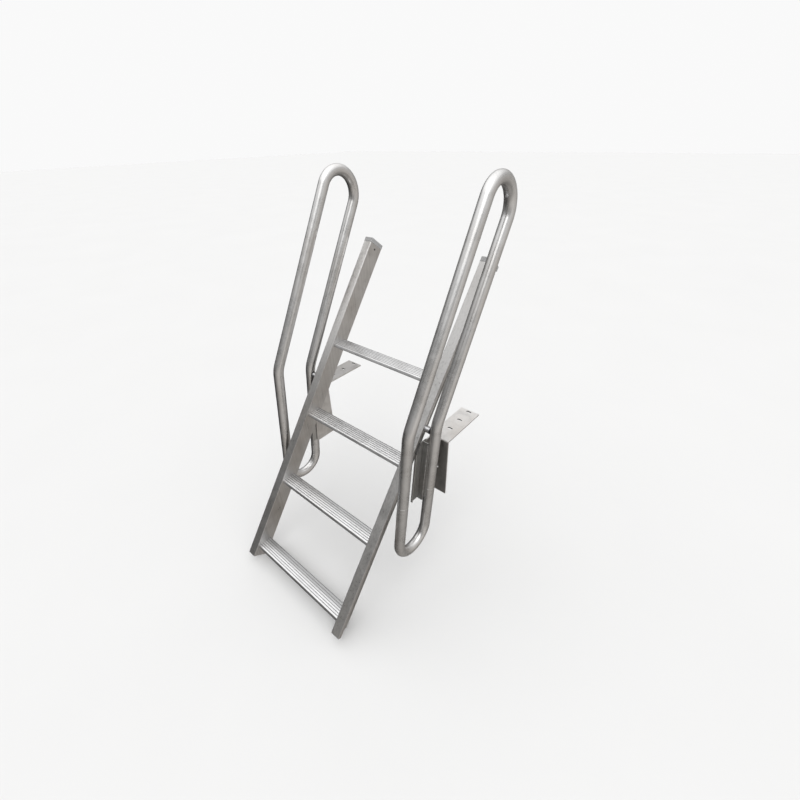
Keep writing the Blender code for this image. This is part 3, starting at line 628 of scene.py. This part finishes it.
def prism(name, outline, place, length, holes=()):
    """Extrude a closed outline along the local Z of a placement."""
    curve = bpy.data.curves.new(name, "CURVE")
    curve.dimensions = "2D"
    curve.fill_mode = "BOTH"
    curve.extrude = length / 2
    for loop in (outline, *holes):
        spline = curve.splines.new("POLY")
        spline.points.add(len(loop) - 1)
        for point, (x, y) in zip(spline.points, loop):
            point.co = (x, y, 0.0, 1.0)
        spline.use_cyclic_u = True
    holder = link(bpy.data.objects.new(name + "_curve", curve))
    mesh = bpy.data.meshes.new_from_object(holder)
    bpy.data.objects.remove(holder, do_unlink=True)
    bpy.data.curves.remove(curve)
    mesh.name = name
    mesh.transform(place @ Matrix.Translation((0, 0, length / 2)))
    settle(mesh)
    work = bmesh.new()
    work.from_mesh(mesh)
    bmesh.ops.dissolve_limit(work, angle_limit=math.radians(0.5), verts=work.verts,
                             edges=work.edges)
    work.to_mesh(mesh)
    work.free()
    return link(bpy.data.objects.new(name, mesh))


def slab(name, side, inner, thickness, outline):
    """Extrude a (y, z) outline outward from a distance off the centre plane."""
    start = inner if side > 0 else -inner - thickness
    return prism(name, outline, section_frame(start), thickness)


def rod(name, start, end, radius, sides):
    start, end = Vector(start), Vector(end)
    work = bmesh.new()
    bmesh.ops.create_cone(work, cap_ends=True, cap_tris=False, segments=sides, radius1=radius,
                          radius2=radius, depth=(end - start).length)
    turn = (end - start).to_track_quat("Z", "Y").to_matrix().to_4x4()
    place = Matrix.Translation((start + end) / 2) @ turn
    bmesh.ops.transform(work, matrix=place, verts=work.verts)
    obj = to_object(name, work)
    settle(obj.data)
    return obj


def drill(side, inner, outer, y, z, radius, sides=32):
    """Cutting rod along X between two distances off the centre plane."""
    return rod("drill", (side * inner, y, z), (side * outer, y, z), radius, sides)


def carve(obj, tools, mode="DIFFERENCE"):
    """Apply exact booleans and drop the tools."""
    for tool in tools:
        mod = obj.modifiers.new("carve", "BOOLEAN")
        mod.operation = mode
        mod.solver = "EXACT"
        mod.object = tool
    bpy.context.view_layer.update()
    graph = bpy.context.evaluated_depsgraph_get()
    mesh = bpy.data.meshes.new_from_object(obj.evaluated_get(graph))
    obj.modifiers.clear()
    obj.data = mesh
    for tool in tools:
        bpy.data.objects.remove(tool, do_unlink=True)


# per-point or per-face attribute of painted shade for the metal finishes
def set_painted_shade(mesh, domain, values):
    layer = mesh.attributes.new("painted_shade", "FLOAT", domain)
    for i, value in enumerate(values):
        layer.data[i].value = value


def done(obj, mat, body, *replaced, bevel=0.0, angle=50.0, sharp=38.0):
    """Move a finished piece to the dock, dress it and hang it on its body."""
    mesh = obj.data
    mesh.transform(Matrix.Translation(DOCK))
    mesh.polygons.foreach_set("use_smooth", [True] * len(mesh.polygons))
    mesh.set_sharp_from_angle(angle=math.radians(sharp))
    mesh.materials.clear()
    mesh.materials.append(mat)
    if bevel:
        mod = obj.modifiers.new("edge", "BEVEL")
        mod.width = bevel
        mod.segments = 2
        mod.limit_method = "ANGLE"
        mod.angle_limit = math.radians(angle)
    flat = obj.modifiers.new("shade", "WEIGHTED_NORMAL")
    flat.mode = "FACE_AREA"
    flat.weight = 50
    flat.keep_sharp = True
    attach(obj, body)
    if replaced:
        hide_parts(*replaced)


# ------------------------------------------------------------------ hand hoops
# A tube path is a list of ((y, z) centre, drop below full radius).
def knee_arc(corner, steps=14):
    """Bend at a knee, from the lower leg to the upper."""
    half = (HOOP_DOWN - HOOP_UP) / 2
    centre = corner - LEG_RUN * (KNEE_R * math.tan(half)) + LEG_BACK * KNEE_R
    angles = [HOOP_DOWN - (HOOP_DOWN - HOOP_UP) * i / steps for i in range(steps + 1)]
    return [(centre - rearward(angle) * KNEE_R, 0.0) for angle in angles]


def half_turn(centre, across, along, steps=56):
    """Bend from the front leg to the rear one."""
    path = []
    for i in range(steps + 1):
        angle = math.pi * i / steps
        point = centre - across * (HOOP_HALF * math.cos(angle))
        path.append((point + along * (HOOP_HALF * math.sin(angle)), 0.0))
    return path


def tube_end(knee, seam, sign):
    """Stations away from a seam, upward for sign 1 and downward for -1."""
    base = on_leg(knee, seam)
    return [(base + LEG_RUN * (sign * (GAP + distance)), drop) for distance, drop in TUBE_END]


def chain(first, *runs):
    """Join runs of a path by straights; each run comes with its straight's step count."""
    path = list(first)
    for count, run in runs:
        start, end = path[-1][0], run[0][0]
        path += [(start + (end - start) * (i / count), 0.0) for i in range(1, count)]
        path += run
    return path


def swept(name, path, x, sides=44):
    """Bent tube with open ends; UVs run along and around it."""
    work = bmesh.new()
    layer = work.loops.layers.uv.new("UVMap")
    last = len(path) - 1
    run = [0.0]
    for (start, _), (end, _) in zip(path, path[1:]):
        run.append(run[-1] + (end - start).length)
    walls = []
    for outside in (True, False):
        wall = []
        for i, (centre, drop) in enumerate(path):
            tangent = (path[min(i + 1, last)][0] - path[max(i - 1, 0)][0]).normalized()
            across = Vector((tangent.y, -tangent.x))
            radius = TUBE_R - drop if outside else TUBE_R - TUBE_WALL
            wall.append(tube_ring(work, x, centre, across, radius, sides))
        walls.append(wall)

    def quad(corners, uvs):
        face = work.faces.new(corners)
        for loop, uv in zip(face.loops, uvs):
            loop[layer].uv = uv

    for wall in walls:
        for i in range(last):
            for k in range(sides):
                after = (k + 1) % sides
                v0, v1 = k / sides, (k + 1) / sides
                quad((wall[i][k], wall[i + 1][k], wall[i + 1][after], wall[i][after]),
                     ((run[i], v0), (run[i + 1], v0), (run[i + 1], v1), (run[i], v1)))
    for i in (0, last):
        outer, inner = walls[0][i], walls[1][i]
        u0, u1 = run[i], run[i] + 0.002
        for k in range(sides):
            after = (k + 1) % sides
            v0, v1 = k / sides, (k + 1) / sides
            quad((outer[k], outer[after], inner[after], inner[k]),
                 ((u0, v0), (u0, v1), (u1, v1), (u1, v0)))
    orient(work)
    return to_object(name, work)


def hoop(side, tag):
    """Upper tube over the knees and top, and lower tube round the foot."""
    front = tube_end(KNEE_FRONT, FRONT_SEAM, 1)
    rear = tube_end(KNEE_REAR, REAR_SEAM, 1)
    path = chain(front, (4, knee_arc(KNEE_FRONT)), (8, half_turn(TOP_CENTRE, UPPER_BACK, UPPER_RUN)),
                 (8, knee_arc(KNEE_REAR)[::-1]), (4, rear[::-1]))
    upper = swept(tag + "_hoop_upper_tube", path, side * HOOP_X)
    carve(upper, [drill(side, HOOP_X - 0.03, HOOP_X, PIVOT_Y, PIVOT_Z, PIN_R + 0.0002, sides=48)])
    done(upper, TUBE_MAT, "hanger", tag + "_hoop_upper", sharp=50.0)

    front = tube_end(KNEE_FRONT, FRONT_SEAM, -1)
    rear = tube_end(KNEE_REAR, REAR_SEAM, -1)
    path = chain(front, (6, half_turn(LOW_CENTRE, LEG_BACK, -LEG_RUN)), (6, rear[::-1]))
    lower = swept(tag + "_hoop_lower_tube", path, side * HOOP_X)
    done(lower, TUBE_MAT, "hanger", tag + "_hoop_lower", sharp=50.0)


# ---------------------------------------------------------------------- stiles
def stile(side, tag):
    """Channel with its web inward, a short rear flange and a return on the outer edge."""
    wall = STILE_WALL
    section = [
        (0, 0, 0.0022), (0, STILE_D, 0.0022), (STILE_LIP, STILE_D, 0.0009),
        (STILE_LIP, STILE_D - wall, 0.0006), (wall, STILE_D - wall, 0.0014),
        (wall, wall, 0.0014), (STILE_W - wall, wall, 0.0014),
        (STILE_W - wall, STILE_RETURN, 0.0009), (STILE_W, STILE_RETURN, 0.0009),
        (STILE_W, 0, 0.0022)]
    obj = prism(tag + "_stile_rail", mirrored(side, fillet(section, 5)),
                stile_frame(side, FOOT_AT), HEAD_AT - FOOT_AT)
    inner, outer = CLEAR_HALF - 0.004, CLEAR_HALF + 0.008
    tools = []
    for place, radius in ((CAP_SCREW_AT, 0.0026), (WEB_HOLE_AT, 0.0030)):
        centre = on_stile(*place, side * CLEAR_HALF)
        tools.append(drill(side, inner, outer, centre.y, centre.z, radius))
    # notch round the pivot boss
    tools.append(drill(side, CLEAR_HALF + 0.0200, CLEAR_HALF + 0.0460, PIVOT_Y, PIVOT_Z,
                       BOSS_R + 0.0008, sides=64))
    for step in range(TREADS):
        y, z = tread_front(step)
        for back in PORT_AT:
            tools.append(drill(side, inner, outer, y + back, z - PORT_Z, PORT_R, sides=24))
    carve(obj, tools)
    done(obj, STILE_MATS[side], "ladder", tag + "_stile", bevel=0.0004, angle=60.0)


def cap(side, tag):
    """Moulded end cap: crowned top, fine groove round the side and a plug below."""
    work = bmesh.new()
    low, wide, deep = -CAP_PROUD, STILE_W + CAP_PROUD, STILE_D + CAP_PROUD
    place = stile_frame(side, HEAD_AT + GAP)
    rings = []
    for height, inset in CAP_RINGS:
        radius = 0.0045 - inset * 0.5
        x0, x1, y0, y1 = low + inset, wide - inset, low + inset, deep - inset
        ring = fillet([(x0, y0, radius), (x0, y1, radius), (x1, y1, radius), (x1, y0, radius)], 6)
        rings.append([work.verts.new(place @ Vector((side * x, y, height))) for x, y in ring])
    skin(work, rings)
    work.faces.new(rings[0])
    work.faces.new(rings[-1])
    orient(work)
    obj = to_object(tag + "_end_cap", work)
    wall = STILE_WALL + GAP
    ring = fillet([(wall, wall, 0.001), (0.015, wall, 0.002), (0.015, STILE_D - wall, 0.002),
                   (wall, STILE_D - wall, 0.001)])
    plug = prism("plug", mirrored(side, ring), stile_frame(side, HEAD_AT - CAP_PLUG),
                 CAP_PLUG + GAP + CAP_T / 2)
    carve(obj, [plug], "UNION")
    seat = on_stile(*CAP_SCREW_AT, side * CLEAR_HALF)
    carve(obj, [drill(side, CLEAR_HALF + 0.002, CLEAR_HALF + 0.0125, seat.y, seat.z, 0.0023,
                      sides=24)])
    done(obj, CAP_MAT, "ladder", tag + "_stile_cap", sharp=42.0)


# ---------------------------------------------------------------------- treads
def tread_section():
    """Closed outline of (back from the front, up, corner radius), tread top at 0."""
    under = -0.0014 - SKIN
    points = [(NOSE_BACK, -NOSE_H, 0.0006), (NOSE_BACK, -NOSE_FLAT, 0.0014),
              (NOSE_TOP, 0.0, 0.0016)]
    half = GROOVE_W / 2
    for i in range(GROOVES):
        back = GROOVE_FIRST + i * GROOVE_PITCH
        points += [(back - half, 0.0, 0.0004), (back - half + 0.0004, -GROOVE_D, 0.0002),
                   (back + half - 0.0004, -GROOVE_D, 0.0002), (back + half, 0.0, 0.0004)]
    points += [(TREAD_D, 0.0, 0.0010), (TREAD_D, -REAR_H, 0.0008),
               (TREAD_D - HEM, -REAR_H, 0.0008), (TREAD_D - HEM, -REAR_H + SKIN, 0.0004),
               (TREAD_D - SKIN, -REAR_H + SKIN, 0.0010), (TREAD_D - SKIN, under, 0.0010)]
    for back in reversed(PORT_AT):
        points += [(back + PORT_HALF, under, 0.0008), (back + PORT_HALF, -PORT_LOW, 0.0024),
                   (back - PORT_HALF, -PORT_LOW, 0.0024), (back - PORT_HALF, under, 0.0008)]
    points += [(NOSE_TOP + 0.0008, under, 0.0010),
               (NOSE_BACK + SKIN + 0.0002, -NOSE_H + SKIN, 0.0004),
               (HEM + NOSE_BACK, -NOSE_H + SKIN, 0.0006), (HEM + NOSE_BACK, -NOSE_H, 0.0006)]
    return points


REAR_SHADE = (0.58, 0.42, 0.22, 0.10)         # painted shade on the rear of each tread, lowest first


def tread_painted_shade(back, up, rear_shade):
    """Painted shade at a point: in the grooves, over the rear half and on the nose."""
    in_groove = GROOVE_FIRST - 0.003 < back < TREAD_D - 0.001 and -0.0030 < up < -0.0007
    rear = rear_shade * min(1.0, max(0.0, (back - 0.034) / 0.014))
    on_nose = back < 0.0072 and up < -0.0012
    return max(0.9 if in_groove else 0.0, rear, 0.40 if on_nose else 0.0)


def tread(step):
    y, z = tread_front(step)
    half = CLEAR_HALF - 0.0004
    ports = [[(back + PORT_R * cosine, -PORT_Z + PORT_R * sine) for cosine, sine in circle(28)]
             for back in PORT_AT]
    obj = prism("tread_%d_extrusion" % (step + 1), fillet(tread_section()),
                section_frame(-half, y, z), 2 * half, ports)
    set_painted_shade(obj.data, "POINT", [tread_painted_shade(v.co.y - y, v.co.z - z, REAR_SHADE[step])
                                 for v in obj.data.vertices])
    done(obj, TREAD_MATS[step], "ladder", "tread_%d" % (step + 1), sharp=35.0)


# -------------------------------------------------------- brackets and mounts
def bracket(side, tag):
    """Angle plate over the dock edge, with an ear on its inner side."""
    bend = [(DECK_LEG, 0.0, 0.0006), (DECK_LEG, PLATE_T, 0.0006),
            (-PLATE_T, PLATE_T, BEND_R + 0.001), (-PLATE_T, -FACE_LEG, 0.0006),
            (0.0, -FACE_LEG, 0.0006), (0.0, 0.0, 0.0)]
    obj = slab(tag + "_bracket_plate", side, PLATE_X, BRACKET_X1 - PLATE_X, fillet(bend, 6))
    ear_low = -FACE_LEG + 0.0005
    ear = [(-0.002, EAR_TOP, 0.0), (EAR_TOP_Y, EAR_TOP, 0.013), (EAR_LOW_Y, ear_low, 0.011),
           (-0.002, ear_low, 0.0)]
    carve(obj, [slab("ear", side, PLATE_X, PLATE_T, fillet(ear, 8))], "UNION")

    mid_x = side * (BRACKET_X0 + BRACKET_X1) / 2
    half_l, half_w = SLOT_L / 2, SLOT_W / 2
    round_r = half_w * 0.98
    ring = fillet([(-half_l, -half_w, round_r), (half_l, -half_w, round_r),
                   (half_l, half_w, round_r), (-half_l, half_w, round_r)], 10)
    tools = [prism("slot", ring, Matrix.Translation((mid_x, y, -0.004)), 0.014) for y in SLOT_Y]
    tools.append(rod("hole", (mid_x, -0.012, FACE_HOLE_Z), (mid_x, 0.006, FACE_HOLE_Z),
                     FACE_HOLE_R, sides=32))
    for z in MOUNT_BOLT_Z:
        centre = mount_bolt(z)
        tools.append(drill(side, PLATE_X - 0.004, PLATE_X + 0.010, *centre, MOUNT_HOLE_R))
    carve(obj, tools)

    def painted_shade(centre, normal):
        """Painted shade: slot walls, then front faces below the deck, then the left deck plate's
        top.
        """
        in_slot = (abs(normal.z) < 0.3 and 0.0 < centre.z < PLATE_T
                   and abs(centre.x - mid_x) < half_l + 0.001
                   and any(abs(centre.y - y) < half_w + 0.001 for y in SLOT_Y))
        if in_slot:
            return 1.0
        if normal.y < -0.9 and centre.z < -0.006:
            return 0.5
        return 0.42 if side < 0 and normal.z > 0.9 and centre.z > PLATE_T / 2 else 0.0

    set_painted_shade(obj.data, "FACE", [painted_shade(face.center, face.normal) for face in obj.data.polygons])
    done(obj, PLATE_MAT, "hanger", tag + "_dock_bracket", bevel=0.0005, angle=50.0)


def mount_section(reach):
    """Closed outline of (out from the ear, back from the leg's centre line, corner radius)."""
    points = [(0.0, MOUNT_FRONT, 0.0010), (0.0, MOUNT_REAR, 0.0008),
              (MOUNT_BASE, MOUNT_REAR, 0.0010), (MOUNT_BASE, MOUNT_WEB1, 0.0050),
              (reach, MOUNT_WEB1, 0.0006), (reach, MOUNT_WEB0, 0.0006),
              (MOUNT_BASE, MOUNT_WEB0, 0.0075)]
    span = MOUNT_WEB0 - MOUNT_FRONT - 0.006
    for i in range(MOUNT_RIBS):
        rib = MOUNT_WEB0 - span * (i + 1) / (MOUNT_RIBS + 1)
        crest = MOUNT_BASE + 0.0016
        points += [(MOUNT_BASE, rib + 0.0018, 0.0006), (crest, rib + 0.0009, 0.0007),
                   (crest, rib - 0.0009, 0.0007), (MOUNT_BASE, rib - 0.0018, 0.0006)]
    return points + [(MOUNT_BASE, MOUNT_FRONT + 0.0034, 0.0016),
                     (MOUNT_LIP, MOUNT_FRONT + 0.0034, 0.0012),
                     (MOUNT_LIP + 0.0008, MOUNT_FRONT, 0.0016)]


def mount(side, tag):
    """Ribbed extrusion on the ear whose web reaches out to the rear leg, with two welds."""
    reach = HOOP_X - TUBE_R - 0.0002 - MOUNT_X
    low, high = rear_leg(MOUNT_LOW), rear_leg(MOUNT_TOP)
    place = axes(Vector((side * MOUNT_X, low.x, low.y)), Vector((1, 0, 0)), LEG_BACK_3D,
                 LEG_RUN_3D)
    obj = prism(tag + "_mount_extrusion", mirrored(side, fillet(mount_section(reach))), place,
                (high - low).length)
    # cut back clear of the stile's return and the rest pad
    edge = STILE_RETURN + 0.0004 + PAD_T + GAP
    corners = [on_stile(along, depth, 0.0) for along, depth in
               ((-0.080, -0.030), (0.060, -0.030), (0.060, edge), (-0.080, edge))]
    tools = [slab("trim", side, MOUNT_X - 0.002, 0.016, [(c.y, c.z) for c in corners])]
    for z in MOUNT_BOLT_Z:
        centre = mount_bolt(z)
        tools.append(drill(side, MOUNT_X - 0.004, MOUNT_X + 0.010, *centre, MOUNT_HOLE_R))
    carve(obj, tools)

    def painted_shade(centre):
        """Painted shade, dark in the ribbed trough and most of all on the rib flanks."""
        height = side * centre.x - MOUNT_X - MOUNT_BASE
        across = (centre.y - low.x) * LEG_BACK.x + (centre.z - low.y) * LEG_BACK.y
        if not (MOUNT_FRONT + 0.0030 < across < MOUNT_WEB0 + 0.0004 and height > -0.0004):
            return 0.0
        if 0.0003 < height < 0.0014:
            return 0.85
        return 0.30 if height < 0.0018 else 0.12

    set_painted_shade(obj.data, "FACE", [painted_shade(face.center) for face in obj.data.polygons])
    done(obj, MOUNT_MAT, "hanger", tag + "_hoop_mount", bevel=0.0003, angle=60.0)
    for label, x, offset, radius in (("front", 0.3160, MOUNT_WEB0 - 0.0006, 0.0030),
                                     ("rear", 0.3148, MOUNT_WEB1 + 0.0008, 0.0026)):
        weld = bead("%s_mount_weld_%s" % (tag, label), x, offset, radius, side)
        done(weld, WELD_MAT, "hanger", sharp=60.0)


def bead(name, x, offset, radius, side):
    """Weld bead down the web's edge: rippled, slightly wandering, tapered at both ends."""
    low = rear_leg(MOUNT_LOW) + LEG_RUN * 0.006
    high = rear_leg(MOUNT_TOP) - LEG_RUN * 0.006
    length = (high - low).length
    count = int(length / 0.0008)
    work = bmesh.new()
    rings = []
    for i in range(count + 1):
        along = length * i / count
        taper = min(1.0, math.sqrt(max(0.0, min(along, length - along) / 0.004)) + 0.05)
        ripple = (1.0 + 0.10 * math.sin(2 * math.pi * along / 0.0042)
                  + 0.04 * math.sin(61.0 * along + offset * 900))
        drift = 0.0004 * math.sin(47.0 * along + x * 50)
        centre = low + LEG_RUN * along + LEG_BACK * (offset + drift)
        rings.append(tube_ring(work, side * x, centre, LEG_BACK, radius * taper * ripple, 14))
    skin(work, rings)
    work.faces.new(rings[0])
    work.faces.new(list(reversed(rings[-1])))
    orient(work)
    return to_object(name, work)


# --------------------------------------------------------------------- screws
def socket_screw(name, seat, out, body, replaced, shank_r, shank_l, head_r, head_h,
                 mat=STEEL_MAT):
    """Domed head with a hexagon socket; seat is under the head, out points away from it."""
    profile = [(-shank_l, 0.0), (-shank_l, shank_r * 0.7), (-shank_l + 0.0008, shank_r),
               (0.0, shank_r), (0.0, head_r * 0.96), (0.0002, head_r)]
    for i in range(1, 8):
        angle = math.radians(90.0 * i / 8)
        profile.append((0.0002 + (head_h - 0.0002) * math.sin(angle),
                        head_r * (0.42 + 0.58 * math.cos(angle))))
    profile += [(head_h, head_r * 0.42), (head_h, 0.0)]
    place = Matrix.Translation(seat) @ out.to_track_quat("Z", "Y").to_matrix().to_4x4()
    work = bmesh.new()
    rings = []
    for height, radius in profile:
        ring = circle(36) if radius else [(0, 0)]
        rings.append([work.verts.new(place @ Vector((radius * cosine, radius * sine, height)))
                      for cosine, sine in ring])
    skin(work, rings)
    orient(work)
    obj = to_object(name, work)
    carve(obj, [rod("key", seat + out * (head_h * 0.35), seat + out * (head_h + 0.0005),
                    head_r * 0.36, sides=6)])
    done(obj, mat, body, replaced, sharp=32.0)


def fasteners(side, tag):
    out = Vector((side, 0, 0))
    for step in range(TREADS):
        y, z = tread_front(step)
        for label, back in zip(("front", "rear"), PORT_AT):
            seat = Vector((side * (CLEAR_HALF + STILE_WALL + SEAT_GAP), y + back, z - PORT_Z))
            socket_screw("%s_tread_%d_%s_socket_screw" % (tag, step + 1, label), seat, out,
                         "ladder", "%s_tread_%d_screw_%s" % (tag, step + 1, label),
                         **TREAD_SCREW)
    for i, z in enumerate(MOUNT_BOLT_Z):
        seat = Vector((side * (MOUNT_X + MOUNT_BASE + SEAT_GAP), *mount_bolt(z)))
        socket_screw("%s_mount_socket_bolt_%d" % (tag, i + 1), seat, out, "hanger",
                     "%s_mount_bolt_%d" % (tag, i + 1), **MOUNT_BOLT)
    seat = on_stile(*CAP_SCREW_AT, side * (CLEAR_HALF - SEAT_GAP))
    socket_screw(tag + "_cap_socket_screw", seat, -out, "ladder", tag + "_cap_screw",
                 mat=BLACK_STEEL_MAT, **CAP_SCREW)


for side, tag in SIDES:
    hoop(side, tag)
    stile(side, tag)
    cap(side, tag)
    bracket(side, tag)
    mount(side, tag)
    fasteners(side, tag)
for step in range(TREADS):
    tread(step)


# ---------------------------------------------------------------------- stage
FLOOR_TONE = 0.742
ROOM_STRENGTH = 2.0
BACKDROP = 0.95                  # level the camera sees behind the product
PANEL = (0.259, -0.966)          # (x, y) direction of the dim panel

# Room levels as (z of the direction, level), from straight down to straight up
LEFT_LEVELS = (
    (-1.0, 0.10), (-0.60, 0.025), (-0.30, 0.05), (-0.05, 0.13), (0.05, 0.15), (0.22, 0.27),
    (0.36, 0.42), (0.44, 0.70), (0.56, 1.15), (0.74, 1.50), (1.0, 1.60))
RIGHT_LEVELS = (
    (-1.0, 0.55), (-0.86, 0.48), (-0.75, 0.34), (-0.60, 0.49), (-0.30, 0.67), (0.0, 0.68),
    (0.25, 0.74), (0.45, 0.80), (0.62, 1.14), (1.0, 1.55))
PANEL_DIMMING = (
    (-1.0, 0.0), (-0.22, 0.0), (0.0, 0.26), (0.15, 0.44), (0.30, 0.58), (0.50, 0.66),
    (0.60, 0.42), (0.68, 0.24), (0.80, 0.0), (1.0, 0.0))


def floor():
    tree = Material("floor_pale")
    low, high = FLOOR_TONE - 0.005, FLOOR_TONE + 0.005
    cloud = tree.noise(tree.coords(), scale=1.3, rough=0.5)
    tone = tree.ramp(cloud, [(0.3, (low, low, FLOOR_TONE - 0.007)),
                             (0.7, (high, high, FLOOR_TONE + 0.003))])
    tree.surface(tone, rough=1.0)
    tree.bsdf.inputs["Specular IOR Level"].default_value = 0.0
    work = bmesh.new()
    bmesh.ops.create_grid(work, x_segments=1, y_segments=1, size=40.0)
    obj = to_object("floor", work)
    obj.location = (0, 0, -0.003)
    obj.data.materials.append(tree.mat)
    obj.visible_glossy = False


def key_light():
    data = bpy.data.lights.new("broad_key", "SUN")
    data.energy = 0.55
    data.angle = math.radians(50.0)
    obj = link(bpy.data.objects.new("broad_key", data))
    obj.rotation_euler = Vector((-0.35, 0.45, -1.0)).to_track_quat("-Z", "Y").to_euler()


def studio_world():
    """Soft room: bright overhead, dim towards -X, paler towards +X; plain to the camera."""
    world = bpy.data.worlds.new("studio")
    bpy.context.scene.world = world
    world.use_nodes = True
    room = Nodes(world.node_tree)
    direction = room.split(room.node("ShaderNodeTexCoord").outputs["Generated"])
    x, y, z = direction["X"], direction["Y"], direction["Z"]

    def levels(table, warm=(1.0, 1.0, 0.995)):
        """Ramp over z; the warm tint grows below z = 0.5."""
        stops = []
        for height, level in table:
            share = min(1.0, max(0.0, (0.5 - height) / 0.6))
            color = tuple(level / ROOM_STRENGTH * (1.0 + (w - 1.0) * share) for w in warm)
            stops.append(((height + 1) / 2, color))
        return room.ramp(room.times(room.plus(z, 1.0), 0.5, clamp=True), stops)

    # blend from left to right, the right side dimmer towards the back
    sideways = room.plus(room.times(x, 0.60), room.times(y, 0.10))
    sideways = room.plus(sideways, 0.5, clamp=True)
    falloff = room.minus(1.0, room.times(y, 0.25))
    right_side = room.scaled(levels(RIGHT_LEVELS, warm=(1.0, 0.955, 0.905)), falloff)
    light = room.mix(sideways, levels(LEFT_LEVELS), right_side)
    # broad dim panel in front, which draws a soft dark line down the tubes
    level = room.calc("SQRT", room.minus(1.0001, room.times(z, z)))
    along = room.plus(room.times(x, PANEL[0]), room.times(y, PANEL[1]))
    facing = room.ease(room.calc("DIVIDE", along, level), start=0.36, span=0.36)
    dimming = room.times(room.times(facing, levels(PANEL_DIMMING)), ROOM_STRENGTH)
    dimmed = room.scaled(light, room.minus(1.0, dimming))
    to_camera = room.node("ShaderNodeLightPath").outputs["Is Camera Ray"]
    background = room.tree.nodes["Background"]
    room.feed(background.inputs["Color"],
              room.mix(to_camera, dimmed, (BACKDROP / ROOM_STRENGTH,) * 3))
    background.inputs["Strength"].default_value = ROOM_STRENGTH


def camera():
    data = bpy.data.cameras.new("camera")
    obj = link(bpy.data.objects.new("camera", data))
    data.sensor_width = 36.0
    data.lens = 17.362
    data.shift_x = -0.00045
    data.shift_y = 0.0079
    data.clip_start = 0.01
    right = Vector((0.76939736, 0.63848289, -0.01916541))
    up = Vector((-0.35569905, 0.45316707, 0.81738473))
    forward = Vector((-0.53057129, 0.62207653, -0.5757733))
    obj.matrix_world = axes(Vector((0.915139, -0.910261, 0.904532)) + DOCK, right, up, -forward)
    bpy.context.scene.camera = obj


floor()
key_light()
studio_world()
camera()
bpy.context.scene.view_settings.view_transform = "Standard"
